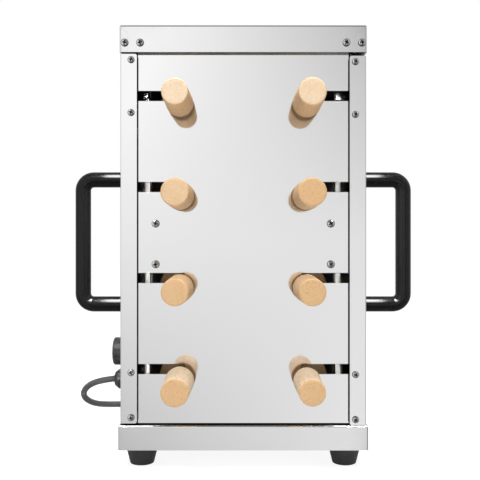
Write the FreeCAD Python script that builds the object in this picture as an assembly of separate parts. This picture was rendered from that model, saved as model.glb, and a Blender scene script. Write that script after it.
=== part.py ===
import FreeCAD, Part
import math
import os

# Chimney cake oven, table model: eight wooden rollers in two columns turn over a chain drive
# between a slotted front panel and a rear wall. A folded door on each side closes the open
# ends of the slots. Millimetres, +X to the right, -Y towards the cook, +Z up. The origin is
# on the table under the middle of the machine's box, measured without the mains cord.
# Depths d are counted from the front plane of the casing towards the back.

V = FreeCAD.Vector

# Casing
service_depth = 132.0           # behind the rear edges of the doors
foot_height = 25.4
base_height = 31.2
opening_height = 474.9          # top of the base to the lower edge of the cap
cap_height = 34.5
side_half = 156.2               # outer face of the doors and of the side panels
base_overhang = 3.1             # base beyond the side faces
cap_overhang = 1.2
sheet = 1.2
thick_sheet = 1.5
edge_round = 2.2                # rounded folds of base and cap
return_flange = 12.0
base_flange = 48.0              # wide inward flange that carries the feet
seam_width = 0.5
seam_depth = 0.6
lap_tab = 11.0                  # lapped corner tab of the cap
ceiling_drop = 0.3              # ceiling below the cap's lower edge

# Feet
foot_top_d = 43.4
foot_bottom_d = 31.6
foot_inset_x = 26.3
foot_inset_y = 35.0
foot_stud_d = 6.0
foot_stud_rise = 4.0            # above the flange it is pushed through
foot_collar = 3.0

# Front panel and its slots
panel_side_gap = 0.45           # to the flanges of the doors
panel_setback = 8.0
panel_gap_low = 1.7
panel_gap_high = 0.5
panel_return = 14.0
rows = 4
row_pitch = 116.6
lowest_axis_up = 58.7           # lowest roller axis above the top of the base
column_half = 80.0
slot_height = 13.1
slot_rise = 12.1                # middle of the slot's level run above the roller axis
cradle_clearance = 0.35

# Rollers
shaft_d = 10.0
grip_length = 76.0
grip_front_d = 32.3
grip_back_d = 35.4
grip_gap = 14.5                 # between the grip and the panel
grip_bore_depth = 55.0
roll_front_d = 58.0
roll_back_d = 52.0
wood_round = 2.0
glue_gap = 0.05
tang_side = 7.0
tang_length = 10.0
tang_clearance = 0.3
tang_bare = 5.0                 # round shaft between the roll and the drive socket
pull_travel = 12.0              # forward pull that frees the tang from its socket
roll_clearance = 3.5            # between the panel and a roll that has been pulled forward

# Baking chamber and drive
chamber_behind_doors = 12.0     # rear wall behind the rear edges of the doors
spindle_head_d = 22.0
spindle_d = 14.0
spindle_gap = 0.4
running_clearance = 0.05
bush_body_d = 20.0
bush_flange_d = 26.0
bush_flange = 1.6
bush_length = 10.0
bearing_body_d = 26.0
bearing_flange_d = 33.0
bearing_flange = 2.0
bearing_length = 6.5
fit_gap = 0.2                   # between fixed pieces that are slipped together
board_thickness = 15.0
board_gap = 0.5
plate_gap = 5.0                 # insulation board to the bearing plate
plate_thickness = 2.5
chain_pitch = 9.525
teeth = 16
tooth_rise = 2.7
tooth_drop = 3.2
sprocket_width = 5.0
hub_d = 24.0
hub_length = 9.0
chain_width = 6.0
chain_height = 7.0
chain_gap = 0.5
motor_drop = 19.35              # motor axis below the lowest roller axes
gearbox_side = 74.0
gearbox_length = 30.0
motor_can_d = 52.0
motor_can_length = 34.0
standoff_d = 8.0
standoff_pitch = 62.0
motor_shaft_d = 8.0
motor_shaft_reach = 18.0        # into the gearbox
motor_gap = 4.0                 # sprocket hub to the gearbox
motor_boss = 2.0
spindle_tail = 2.0
tooth_root_share = 0.34         # half widths of a tooth as shares of its pitch
tooth_tip_share = 0.11
board_hole_gap = 1.0

# Heating elements
heater_d = 8.0
heater_half_gap = 17.0
heater_behind_roll = 5.0        # front bend behind the front face of the rolls
heater_collar_d = 16.0
heater_collar = 4.0
heater_tail = 14.0

# Doors
door_depth = 228.0
door_play = 2.4                 # top of the left door below the cap
door_lift = 3.1                 # bottom of the left door above the base
right_door_drop = 2.4           # the right door hangs a little lower
front_flange = 20.9
inner_flange = 10.0
flange_corner = 2.5
stiffener_height = 82.0
stiffener_end_gap = 4.0
pin_d = 5.0
pin_inset_x = 5.2               # pivot axis inside the door's outer face
pin_inset_y = 5.5               # pivot axis ahead of the door's rear edge
pin_block_height = 12.0
pin_block_gap = 0.5             # to the rear flange
pin_reach = 3.2                 # pin beyond the sheet that it turns in
pivot_bush_d = 7.2
pivot_flange_d = 10.4
pivot_gap = 0.2
service_gap = 4.0               # door's rear edge to the side panel

# U handles
handle_tube_d = 20.0
handle_out = 63.2               # outermost point from the door's face
handle_pitch = 162.4
handle_bend = 14.0
handle_depth = 29.0
handle_middle_up = 233.6        # above the top of the base
handle_foot_d = 26.0
handle_foot = 1.5
handle_screw_d = 5.0
handle_screw_reach = 14.0

# Door catches
catch_screw_inset = 22.65       # from the panel's edge
catch_screw_pitch = 52.1
catch_middle_up = 231.05
catch_ear = 1.5
catch_ear_half = 9.0
catch_body_height = 38.0
catch_body_depth = 14.0
catch_gap = 0.4

# Screws
screw_shank_d = 4.0
screw_hole_clearance = 0.3
screw_recess = 1.1
screw_recess_width = 1.1
cap_screw_d = 9.8
cap_screw_up = 11.9             # above the cap's lower edge
cap_screw_insets = (26.3, 6.7)  # from the cap's sides
door_screw_d = 8.8
door_screw_inset = 13.6         # from the door's outer face
door_screw_ups = (7.3, 64.5, 394.9, 462.0)
panel_screw_d = 10.2
rear_screw_d = 9.0
rear_screw_inset = 7.0
rear_screw_columns = 4
head_rise = 2.5
screw_reach = 8.0
short_screw = 5.0
past = 1.0                      # cutters run this far past the faces they open
touch = 0.01                    # two places nearer than this are the same

# Rear cover
louvre_length = 70.0
louvre_height = 5.0
louvre_pitch = 13.0
louvre_rows = 7
louvre_column_x = 55.0
louvre_up = (95.0, 300.0)       # first louvre of each group above the base

# Control box on the left side
box_gap_front = 2.0             # behind the side panel's front edge
box_width = 56.0
box_out = 25.8                  # beyond the side panel
box_drop = 9.6                  # bottom below the top of the base
box_height = 168.0
box_round = 4.0
box_tab = 12.0
box_screw_gaps = (4.0, 5.5)     # ahead of the bearing plate, behind its folded edge
box_gap = 0.3
window_margin = 8.0

knob_d = 44.6
knob_rise = 55.2                # above the top of the base
knob_gap = 1.0
knob_length = 27.4
knob_dome = 1.4
knob_round = 3.0
knob_bar = 9.8
knob_groove = 1.0
knob_groove_depth = 1.6
knob_skirt = 6.0                # plain rim next to the box
stem_root = 2.0                 # stem inside the knob
knob_stem_d = 6.0
thermostat_side = 36.0
thermostat_length = 24.5
thermostat_neck_d = 10.0
stem_reach = 12.0

gland_rise = 10.1
gland_corner_d = 33.7
gland_thread_d = 24.0
gland_base = 7.0
gland_nut = 12.0
gland_cone = 6.0
gland_lip = 1.5
gland_cone_d = 22.0
gland_mouth_d = 13.5
gland_inside = 14.0
locknut = 4.0
gland_waist = 0.8
gland_chamfer = 1.2

switch_rise = 101.4
bezel_width = 24.0
bezel_height = 33.0
bezel_rise = 2.0
switch_wall = 2.5
switch_depth = 20.0
rocker_gap = 0.5
rocker_angle = 8.0              # rest tilt to either side of level
rocker_rise = 3.2
rocker_drop = 7.0
rocker_pivot_in = 4.0
rocker_heel = 2.0
bezel_round = 1.2
trunnion_d = 3.0
trunnion_reach = 1.5            # into the switch from its wall
dimple_depth = 1.6

lamp_height = 135.4
lamp_bezel_d = 14.0
lamp_d = 10.0
lamp_rise = 4.0
lamp_body = 18.0
lamp_bezel = 1.2
lamp_step = 0.8                 # lens radius under the radius of its mounting
lamp_round = 2.0

# Crumb tray
tray_gap = 4.5                  # behind the panel's folded edge
tray_height = 11.0
tray_sheet = 1.0
tray_end_gap = 1.5
tray_lip = 7.0

# Mains cord
cord_d = 10.0
cord_route = (                  # out from the side panel, back from the gland's axis, level
    (73.8, 2.0, 64.0), (96.8, 12.0, 54.5), (110.8, 30.0, 38.5), (111.3, 52.0, 22.0),
    (97.8, 73.0, 9.0), (74.3, 87.5, 5.0), (44.3, 90.0, 5.0), (19.3, 103.0, 5.0),
    (4.3, 125.5, 5.0), (0.8, 150.0, 5.0), (0.8, 175.4, 5.0),
)
arc_share = 0.45
cord_lead = 2.0                 # drawn into the gland, then trimmed at its mouth
coil_pitch = 10.9
coil_inner = 44.2
coil_low_turns = 2.0
coil_high_turns = 1.375
coil_tail = 52.0
coil_climb = 0.5                # part of a turn in which it climbs to the upper layer
coil_step = 0.125               # part of a turn drawn by each pair of arcs
coil_heading = 90.0             # heading of the cord where the coil begins, degrees from +X
plug_length = 36.0
plug_width = 36.0
plug_thickness = 30.6
plug_neck = 20.0
plug_neck_d = 14.0
plug_pin_d = 4.8
plug_pin_length = 19.0
plug_pin_pitch = 19.0
plug_round = 3.0
plug_shoulder = 2.0

# Levels and places that follow from the sizes above
body_depth = door_depth + service_depth
base_half = side_half + base_overhang
cap_half = side_half + cap_overhang
panel_half = side_half - front_flange - panel_side_gap
base_top = foot_height + base_height
cap_low = base_top + opening_height
cap_top = cap_low + cap_height
door_height = opening_height - door_lift - door_play
chamber_depth = door_depth + chamber_behind_doors
handle_reach = side_half + handle_out
grip_overhang = grip_length + grip_gap - panel_setback
total_depth = grip_overhang + body_depth + head_rise
front_y = grip_overhang - total_depth / 2.0
panel_low = base_top + panel_gap_low
panel_high = cap_low - panel_gap_high
panel_back = panel_setback + thick_sheet
ceiling_low = cap_low - ceiling_drop
ceiling_half = cap_half - sheet - fit_gap
roll_front = panel_back + pull_travel + roll_clearance
head_back = chamber_depth - bush_flange - spindle_gap
roll_back = head_back - tang_length - tang_bare
tang_front = roll_back + tang_bare
tang_back = tang_front + tang_length
shaft_end = tang_front
axis_levels = [base_top + lowest_axis_up + row_pitch * n for n in range(rows)]
motor_level = axis_levels[0] - motor_drop
wall_back = chamber_depth + thick_sheet
board_front = wall_back + board_gap
board_back = board_front + board_thickness
plate_depth = board_back + plate_gap
plate_back = plate_depth + plate_thickness
hub_front = plate_back + bearing_flange + spindle_gap
hub_back = hub_front + hub_length
sprocket_middle = hub_front + hub_length / 2.0
pitch_radius = chain_pitch / 2.0 / math.sin(math.pi / teeth)
tip_radius = pitch_radius + tooth_rise
root_radius = pitch_radius - tooth_drop
side_front = door_depth + service_gap
box_front = side_front + box_gap_front
box_back = box_front + box_width
control_depth = (box_front + box_back) / 2.0
box_low = base_top - box_drop
box_high = box_low + box_height
knob_up = base_top + knob_rise
gland_up = base_top + gland_rise
switch_up = base_top + switch_rise
lamp_up = base_top + lamp_height
heater_front = roll_front + heater_behind_roll
tray_front = panel_back + panel_return + tray_gap
tray_back = door_depth - inner_flange
catch_screw_x = panel_half - catch_screw_inset
cap_screw_x = [cap_half - inset for inset in cap_screw_insets]
box_screw_depths = (plate_depth - box_screw_gaps[0], plate_back + return_flange + box_screw_gaps[1])
cover_front = body_depth - thick_sheet
side_back = cover_front - fit_gap / 2.0
box_face = side_half + box_out
handle_level = base_top + handle_middle_up
catch_level = base_top + catch_middle_up
gland_end = box_face + gland_base + gland_nut + gland_cone + gland_lip

os.makedirs("parts", exist_ok=True)
names = []


def y_at(depth):
    return front_y + depth


def block(x0, x1, d0, d1, z0, z1):
    """Box between two X values, two depths and two levels, given in any order."""
    lo_x, hi_x = sorted((x0, x1))
    return Part.makeBox(hi_x - lo_x, d1 - d0, z1 - z0, V(lo_x, y_at(d0), z0))


def rod_y(x, z, radius, d0, d1):
    return Part.makeCylinder(radius, d1 - d0, V(x, y_at(d0), z), V(0, 1, 0))


def rod_x(depth, z, radius, x0, x1):
    lo_x, hi_x = sorted((x0, x1))
    return Part.makeCylinder(radius, hi_x - lo_x, V(lo_x, y_at(depth), z), V(1, 0, 0))


def rod_z(x, depth, radius, z0, z1):
    return Part.makeCylinder(radius, z1 - z0, V(x, y_at(depth), z0), V(0, 0, 1))


def cone_y(x, z, radius0, radius1, d0, d1):
    return Part.makeCone(radius0, radius1, d1 - d0, V(x, y_at(d0), z), V(0, 1, 0))


def polygon_face(points):
    return Part.Face(Part.makePolygon(points + [points[0]]))


def fuse(shapes):
    whole = shapes[0].fuse(shapes[1:]) if len(shapes) > 1 else shapes[0]
    return whole.removeSplitter()


def mirrored(shape):
    """The same shape on the other side of the machine's middle plane."""
    return shape.mirror(V(0, 0, 0), V(1, 0, 0))


def round_edges(shape, radius, wanted):
    """Fillet the straight edges whose middle and direction pass the test."""
    edges = []
    for edge in shape.Edges:
        if edge.Curve.TypeId != "Part::GeomLine":
            continue
        middle = (edge.Vertexes[0].Point + edge.Vertexes[-1].Point) * 0.5
        along = (edge.Vertexes[-1].Point - edge.Vertexes[0].Point).normalize()
        if wanted(middle, along):
            edges.append(edge)
    return shape.makeFillet(radius, edges) if edges else shape


def save(name, solids):
    """Write one node, as one solid or as a group of separate solids."""
    solids = solids if isinstance(solids, list) else [solids]
    loose = [part for solid in solids for part in solid.Solids]
    shape = loose[0] if len(loose) == 1 else Part.makeCompound(loose)
    shape.exportStep("parts/" + name + ".step")
    names.append(name)
    flaw = "" if shape.isValid() else "  NOT VALID"
    print("%-24s %2d solids %12.1f mm3%s" % (name, len(loose), shape.Volume, flaw))


def screw(head_point, outward, head_d, reach):
    """Domed cross-recessed screw: head on a face, shank going in against the outward axis."""
    radius = head_d / 2.0
    crown = (radius ** 2 + head_rise ** 2) / (2.0 * head_rise)
    ball = Part.makeSphere(crown, V(0, 0, head_rise - crown))
    head = ball.common(Part.makeCylinder(radius, head_rise, V(0, 0, 0)))
    bar_length = head_d * 0.5
    for turn in (0.0, 90.0):
        bar = Part.makeBox(bar_length, screw_recess_width, screw_recess,
                           V(-bar_length / 2.0, -screw_recess_width / 2.0, head_rise - screw_recess))
        bar.rotate(V(0, 0, 0), V(0, 0, 1), turn)
        head = head.cut(bar)
    shank = Part.makeCylinder(screw_shank_d / 2.0, reach, V(0, 0, -reach))
    whole = fuse([head, shank])
    turn = FreeCAD.Rotation(V(0, 0, 1), outward)
    whole.Placement = FreeCAD.Placement(head_point, turn)
    return whole


def screw_hole(head_point, outward, reach):
    radius = screw_shank_d / 2.0 + screw_hole_clearance
    start = head_point + outward * past
    return Part.makeCylinder(radius, reach + past, start, outward * -1.0)


def pan(half_x, d0, d1, z0, z1, thickness, open_low):
    """Folded sheet pan with rounded outer folds, open at the bottom or at the top."""
    outer = block(-half_x, half_x, d0, d1, z0, z1)
    closed = z1 if open_low else z0

    def fold(middle, along):
        upright = abs(along.z) > 0.9
        return upright or abs(middle.z - closed) < touch

    outer = round_edges(outer, edge_round, fold)
    inner_low = z0 - past if open_low else z0 + thickness
    inner_high = z1 - thickness if open_low else z1 + past
    hollow = block(-half_x + thickness, half_x - thickness, d0 + thickness, d1 - thickness,
                   inner_low, inner_high)
    return outer.cut(hollow)


FRONT = V(0, -1, 0)
BACK = V(0, 1, 0)
LEFT = V(-1, 0, 0)
pivot_x = side_half - pin_inset_x
pivot_depth = door_depth - pin_inset_y

# Screw places that holes and screws share
cap_screws = [V(s * x, y_at(0), cap_low + cap_screw_up) for s in (-1, 1) for x in cap_screw_x]
cap_rear_screws = [V(s * cap_screw_x[0], y_at(body_depth), cap_low + cap_screw_up) for s in (-1, 1)]
catch_screws = [V(s * catch_screw_x, y_at(panel_setback), catch_level + e * catch_screw_pitch / 2.0)
                for s in (-1, 1) for e in (-1, 1)]
cover_low = base_top + fit_gap
cover_high = ceiling_low - fit_gap
rear_screws = []
for s in (-1, 1):
    for n in range(rear_screw_columns):
        span = cover_high - cover_low - 2.0 * rear_screw_inset
        level = cover_low + rear_screw_inset + span * n / (rear_screw_columns - 1)
        rear_screws.append(V(s * (side_half - rear_screw_inset), y_at(body_depth), level))
box_tab_level = box_high + box_tab / 2.0
box_screws = [V(-side_half - sheet - fit_gap, y_at(d), box_tab_level) for d in box_screw_depths]

# Base: an inverted pan, its top is the floor of the baking chamber
base = pan(base_half, 0.0, body_depth, foot_height, base_top, thick_sheet, True)
frame_outer = block(-base_half + thick_sheet, base_half - thick_sheet, thick_sheet,
                    body_depth - thick_sheet, foot_height, foot_height + thick_sheet)
frame_hole = block(-base_half + base_flange, base_half - base_flange, base_flange,
                   body_depth - base_flange, foot_height - past, foot_height + thick_sheet + past)
base = fuse([base, frame_outer.cut(frame_hole)])
foot_places = [(s * (base_half - foot_inset_x), d)
               for s in (-1, 1) for d in (foot_inset_y, body_depth - foot_inset_y)]
stud_hole_r = foot_stud_d / 2.0 + screw_hole_clearance
bush_hole_r = pivot_bush_d / 2.0 + fit_gap / 2.0
base = base.cut([rod_z(x, d, stud_hole_r, foot_height - past, foot_height + thick_sheet + past)
                 for x, d in foot_places])
base = base.cut([rod_z(s * pivot_x, pivot_depth, bush_hole_r, base_top - thick_sheet - past,
                       base_top + past) for s in (-1, 1)])
save("base_pan", base)

# Feet: tapered rubber with a moulded stud through the base's flange
feet = []
for x, d in foot_places:
    body = Part.makeCone(foot_bottom_d / 2.0, foot_top_d / 2.0, foot_height, V(x, y_at(d), 0))
    stud = rod_z(x, d, foot_stud_d / 2.0, foot_height, foot_height + thick_sheet + foot_stud_rise)
    collar = rod_z(x, d, foot_stud_d, foot_height + thick_sheet + fit_gap / 2.0,
                   foot_height + thick_sheet + foot_collar)
    feet.append(fuse([body, stud, collar]))
save("rubber_feet", feet)

# Cap: a pan open at the bottom, with lapped and mitred corner tabs on its front face
cap = pan(cap_half, 0.0, body_depth, cap_low, cap_top, sheet, True)
for s in (-1, 1):
    seam_x = s * (cap_half - lap_tab)
    mitre_end = edge_round + seam_width
    mitre_top = cap_top - mitre_end
    mitre_low = mitre_top - lap_tab + mitre_end
    upright = block(seam_x - seam_width / 2.0, seam_x + seam_width / 2.0, -past, seam_depth,
                    cap_low - past, mitre_low)
    end_x = s * (cap_half - mitre_end)
    corner = [V(seam_x, y_at(-past), mitre_low - seam_width), V(end_x, y_at(-past), mitre_top - seam_width),
              V(end_x, y_at(-past), mitre_top), V(seam_x, y_at(-past), mitre_low)]
    slant = polygon_face(corner).extrude(V(0, past + seam_depth, 0))
    cap = cap.cut([upright, slant])
cap = cap.cut([screw_hole(p, FRONT, short_screw) for p in cap_screws])
cap = cap.cut([screw_hole(p, BACK, short_screw) for p in cap_rear_screws])
save("top_cap", cap)

# Ceiling of the baking chamber: a shallow tray inside the cap, which is screwed to it
ceiling_front = sheet + fit_gap
ceiling_back = body_depth - sheet - fit_gap
ceiling = block(-ceiling_half, ceiling_half, ceiling_front, ceiling_back, ceiling_low,
                ceiling_low + 2.0 * return_flange)
ceiling = ceiling.cut(block(-ceiling_half + sheet, ceiling_half - sheet, ceiling_front + sheet,
                            ceiling_back - sheet, ceiling_low + sheet, cap_top))
ceiling = ceiling.cut([screw_hole(p, FRONT, screw_reach) for p in cap_screws])
ceiling = ceiling.cut([screw_hole(p, BACK, screw_reach) for p in cap_rear_screws])
ceiling = ceiling.cut([rod_z(s * pivot_x, pivot_depth, bush_hole_r, ceiling_low - past,
                             ceiling_low + sheet + past) for s in (-1, 1)])
save("ceiling_tray", ceiling)

# Front panel: slots open at its outer edges, each drops to a half-round cradle for the shaft
panel = block(-panel_half, panel_half, panel_setback, panel_back, panel_low, panel_high)
low_return = block(-panel_half, panel_half, panel_back, panel_back + panel_return,
                   panel_low, panel_low + thick_sheet)
high_return = block(-panel_half, panel_half, panel_back, panel_back + panel_return,
                    panel_high - thick_sheet, panel_high)
panel = fuse([panel, low_return, high_return])
cradle_r = shaft_d / 2.0 + cradle_clearance
slot_cuts = []
for s in (-1, 1):
    for level in axis_levels:
        middle = level + slot_rise
        run = block(s * (column_half - cradle_r), s * (panel_half + past), panel_setback - past,
                    panel_back + past, middle - slot_height / 2.0, middle + slot_height / 2.0)
        drop = block(s * (column_half - cradle_r), s * (column_half + cradle_r),
                     panel_setback - past, panel_back + past, level, middle)
        cradle = rod_y(s * column_half, level, cradle_r, panel_setback - past, panel_back + past)
        slot_cuts.append(fuse([run, drop, cradle]))
panel = panel.cut(slot_cuts)
panel = panel.cut([screw_hole(p, FRONT, short_screw) for p in catch_screws])
save("front_panel", panel)

# Rear wall of the baking chamber with holes for drive bushes and heating elements
wall_half = side_half - sheet - fit_gap
wall_low = base_top + fit_gap
wall_high = ceiling_low - fit_gap
wall = block(-wall_half, wall_half, chamber_depth, wall_back, wall_low, wall_high)
wall_sides = [block(s * (wall_half - thick_sheet), s * wall_half, wall_back,
                    wall_back + return_flange, wall_low, wall_high) for s in (-1, 1)]
wall = fuse([wall] + wall_sides)
bush_r = bush_body_d / 2.0 + fit_gap / 2.0
heater_hole_r = heater_d / 2.0 + screw_hole_clearance
wall_cuts = [rod_y(s * column_half, z, bush_r, chamber_depth - past, wall_back + past)
             for s in (-1, 1) for z in axis_levels]
heater_cuts = [rod_y(0.0, z + e * heater_half_gap, heater_hole_r, chamber_depth - past, wall_back + past)
               for e in (-1, 1) for z in axis_levels]
save("chamber_rear_wall", wall.cut(wall_cuts + heater_cuts))

# Insulation board between the hot wall and the drive
board = block(-wall_half + 2.0 * thick_sheet, wall_half - 2.0 * thick_sheet, board_front, board_back,
              wall_low + board_gap, wall_high - board_gap)
board_cuts = [rod_y(s * column_half, z, bush_r + board_hole_gap, board_front - past, board_back + past)
              for s in (-1, 1) for z in axis_levels]
board_cuts += [rod_y(0.0, z + e * heater_half_gap, heater_collar_d / 2.0 + board_hole_gap,
                     board_front - past, board_back + past) for e in (-1, 1) for z in axis_levels]
save("insulation_board", board.cut(board_cuts))

# Bearing plate: carries the rear bearings of the spindles and the gear motor
plate = block(-wall_half, wall_half, plate_depth, plate_back, wall_low, wall_high)
plate_sides = [block(s * (wall_half - thick_sheet), s * wall_half, plate_back,
                     plate_back + return_flange, wall_low, wall_high) for s in (-1, 1)]
plate = fuse([plate] + plate_sides)
bearing_r = bearing_body_d / 2.0 + fit_gap / 2.0
plate_cuts = [rod_y(s * column_half, z, bearing_r, plate_depth - past, plate_back + past)
              for s in (-1, 1) for z in axis_levels]
save("bearing_plate", plate.cut(plate_cuts))

# Side panels of the service compartment, folded on all four edges
side_low = base_top + fit_gap / 2.0
side_high = ceiling_low - fit_gap / 2.0
panels = []
for s in (-1, 1):
    skin = block(s * (side_half - sheet), s * side_half, side_front, side_back, side_low, side_high)
    inner = s * (side_half - return_flange)
    front = block(inner, s * side_half, side_front, side_front + sheet, side_low, side_high)
    rear = block(inner, s * side_half, side_back - sheet, side_back, side_low, side_high)
    panels.append(fuse([skin, front, rear]))
window = block(-side_half - past, -side_half + sheet + past, box_front + window_margin,
               box_back - window_margin, base_top + window_margin, box_high - window_margin)
panels[0] = panels[0].cut(window)
panels[0] = panels[0].cut([screw_hole(p, LEFT, screw_reach) for p in box_screws])
panels = [p.cut([screw_hole(q, BACK, screw_reach) for q in rear_screws]) for p in panels]
save("service_side_panels", panels)

# Rear cover with louvre slots
cover = block(-side_half + fit_gap, side_half - fit_gap, cover_front, body_depth, cover_low, cover_high)
louvres = []
for up in louvre_up:
    for n in range(louvre_rows):
        level = base_top + up + louvre_pitch * n
        for s in (-1, 1):
            middle = s * louvre_column_x
            half = (louvre_length - louvre_height) / 2.0
            radius = louvre_height / 2.0
            bar = block(middle - half, middle + half, cover_front - past, body_depth + past,
                        level - radius, level + radius)
            ends = [rod_y(middle + e * half, level, radius, cover_front - past, body_depth + past)
                    for e in (-1, 1)]
            louvres.append(fuse([bar] + ends))
cover = cover.cut(louvres + [screw_hole(p, BACK, short_screw) for p in rear_screws])
save("rear_cover", cover)

# Bushes and bearings of the spindles, and the flanged pivot bushes of the doors
bearings = []
for s in (-1, 1):
    x = s * column_half
    for z in axis_levels:
        bore = rod_y(x, z, spindle_d / 2.0 + running_clearance, chamber_depth - bush_length,
                     plate_back + bush_length)
        flange = rod_y(x, z, bush_flange_d / 2.0, chamber_depth - bush_flange, chamber_depth)
        body = rod_y(x, z, bush_body_d / 2.0, chamber_depth, chamber_depth + bush_length)
        bearings.append(fuse([flange, body]).cut(bore))
        flange = rod_y(x, z, bearing_flange_d / 2.0, plate_back, plate_back + bearing_flange)
        body = rod_y(x, z, bearing_body_d / 2.0, plate_back - bearing_length, plate_back)
        bearings.append(fuse([flange, body]).cut(bore))
door_lows = {"left": base_top + door_lift, "right": base_top + door_lift - right_door_drop}
pin_hole_r = pin_d / 2.0 + running_clearance
for word, low in door_lows.items():
    x = -pivot_x if word == "left" else pivot_x
    bore = rod_z(x, pivot_depth, pin_hole_r, foot_height, cap_top)
    flange = rod_z(x, pivot_depth, pivot_flange_d / 2.0, base_top, low - pivot_gap)
    body = rod_z(x, pivot_depth, pivot_bush_d / 2.0, base_top - thick_sheet - pin_reach, base_top)
    bearings.append(fuse([flange, body]).cut(bore))
    high = low + door_height
    flange = rod_z(x, pivot_depth, pivot_flange_d / 2.0, high + pivot_gap, ceiling_low)
    body = rod_z(x, pivot_depth, pivot_bush_d / 2.0, ceiling_low, ceiling_low + sheet + pin_reach)
    bearings.append(fuse([flange, body]).cut(bore))
save("bearings_and_bushes", bearings)

# Heating elements: one hairpin in the middle plane at the height of each pair of rollers
heaters = []
for z in axis_levels:
    radius = heater_d / 2.0
    tail = wall_back + heater_tail
    bend_depth = heater_front + heater_half_gap + radius
    legs = [rod_y(0.0, z + e * heater_half_gap, radius, bend_depth, tail) for e in (-1, 1)]
    circle = Part.Wire(Part.makeCircle(radius, V(0, y_at(bend_depth), z + heater_half_gap), BACK))
    bend = Part.Face(circle).revolve(V(0, y_at(bend_depth), z), V(1, 0, 0), 180.0)
    collars = []
    for e in (-1, 1):
        level = z + e * heater_half_gap
        for start in (chamber_depth - heater_collar, wall_back):
            collars.append(rod_y(0.0, level, heater_collar_d / 2.0, start, start + heater_collar))
    heaters.append(fuse(legs + [bend] + collars))
save("heating_elements", heaters)

# Crumb tray on the chamber floor, with a finger lip at each end
tray_half = side_half - inner_flange - tray_end_gap
tray_low = base_top + fit_gap
tray = block(-tray_half, tray_half, tray_front, tray_back, tray_low, tray_low + tray_height)
tray = tray.cut(block(-tray_half + tray_sheet, tray_half - tray_sheet, tray_front + tray_sheet,
                      tray_back - tray_sheet, tray_low + tray_sheet, tray_low + tray_height + past))
tray_middle = (tray_front + tray_back) / 2.0
lips = [block(s * tray_half, s * (tray_half - tray_lip), tray_middle - 2.0 * return_flange,
              tray_middle + 2.0 * return_flange, tray_low + tray_height - tray_sheet,
              tray_low + tray_height) for s in (-1, 1)]
save("crumb_tray", fuse([tray] + lips))


def sprocket(x, z):
    """Chain wheel: one trapezoid tooth per pitch on a root circle."""
    points = []
    step = 2.0 * math.pi / teeth
    for n in range(teeth):
        for radius, share in ((root_radius, -tooth_root_share), (tip_radius, -tooth_tip_share),
                              (tip_radius, tooth_tip_share), (root_radius, tooth_root_share)):
            angle = (n + share) * step
            points.append(V(x + radius * math.cos(angle), y_at(sprocket_middle - sprocket_width / 2.0),
                            z + radius * math.sin(angle)))
    return polygon_face(points).extrude(V(0, sprocket_width, 0))


# Rollers and the spindles that turn them
for side in "LR":
    x = -column_half if side == "L" else column_half
    for number, z in enumerate(reversed(axis_levels), start=1):
        tag = side + str(number)
        grip_front = -grip_overhang
        grip_back = grip_front + grip_length
        bore_r = shaft_d / 2.0 + glue_gap
        shaft_front = grip_back - grip_bore_depth + glue_gap
        round_bar = rod_y(x, z, shaft_d / 2.0, shaft_front, shaft_end)
        half_tang = tang_side / 2.0
        tang = block(x - half_tang, x + half_tang, shaft_end, tang_back, z - half_tang, z + half_tang)
        save("roller_%s_shaft" % tag, fuse([round_bar, tang]))

        grip = cone_y(x, z, grip_front_d / 2.0, grip_back_d / 2.0, grip_front, grip_back)
        ends = [e for e in grip.Edges if e.Curve.TypeId == "Part::GeomCircle"]
        grip = grip.makeFillet(wood_round, ends)
        grip = grip.cut(rod_y(x, z, bore_r, grip_back - grip_bore_depth, grip_back + past))
        roll = cone_y(x, z, roll_front_d / 2.0, roll_back_d / 2.0, roll_front, roll_back)
        ends = [e for e in roll.Edges if e.Curve.TypeId == "Part::GeomCircle"]
        roll = roll.makeFillet(wood_round, ends)
        roll = roll.cut(rod_y(x, z, bore_r, roll_front - past, roll_back + past))
        save("roller_%s_wood" % tag, [grip, roll])

        head = rod_y(x, z, spindle_head_d / 2.0, tang_front + spindle_gap, head_back)
        neck = rod_y(x, z, spindle_d / 2.0, head_back, hub_back + spindle_tail)
        hub = rod_y(x, z, hub_d / 2.0, hub_front, hub_back)
        wheel = sprocket(x, z)
        half_hole = half_tang + tang_clearance
        socket = block(x - half_hole, x + half_hole, tang_front - past, tang_back + past,
                       z - half_hole, z + half_hole)
        save("spindle_%s" % tag, fuse([head, neck, hub, wheel]).cut(socket))

# Motor sprocket on its output shaft
motor_front = hub_back + motor_gap
wheel = sprocket(0.0, motor_level)
hub = rod_y(0.0, motor_level, hub_d / 2.0, hub_front, hub_back)
shaft = rod_y(0.0, motor_level, motor_shaft_d / 2.0, hub_back, motor_front + motor_shaft_reach)
save("motor_sprocket", fuse([wheel, hub, shaft]))

# Gear motor behind the bearing plate on four standoffs
half = gearbox_side / 2.0
gearbox = block(-half, half, motor_front, motor_front + gearbox_length, motor_level - half,
                motor_level + half)
can = rod_y(0.0, motor_level, motor_can_d / 2.0, motor_front + gearbox_length,
            motor_front + gearbox_length + motor_can_length)
boss = rod_y(0.0, motor_level, motor_shaft_d, motor_front - motor_boss, motor_front)
standoffs = [rod_y(sx * standoff_pitch / 2.0, motor_level + sz * standoff_pitch / 2.0,
                   standoff_d / 2.0, plate_back, motor_front) for sx in (-1, 1) for sz in (-1, 1)]
motor = fuse([gearbox, can, boss] + standoffs)
motor = motor.cut(rod_y(0.0, motor_level, motor_shaft_d / 2.0 + running_clearance,
                        motor_front - motor_boss - past, motor_front + motor_shaft_reach + past))
save("gear_motor", motor)


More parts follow.
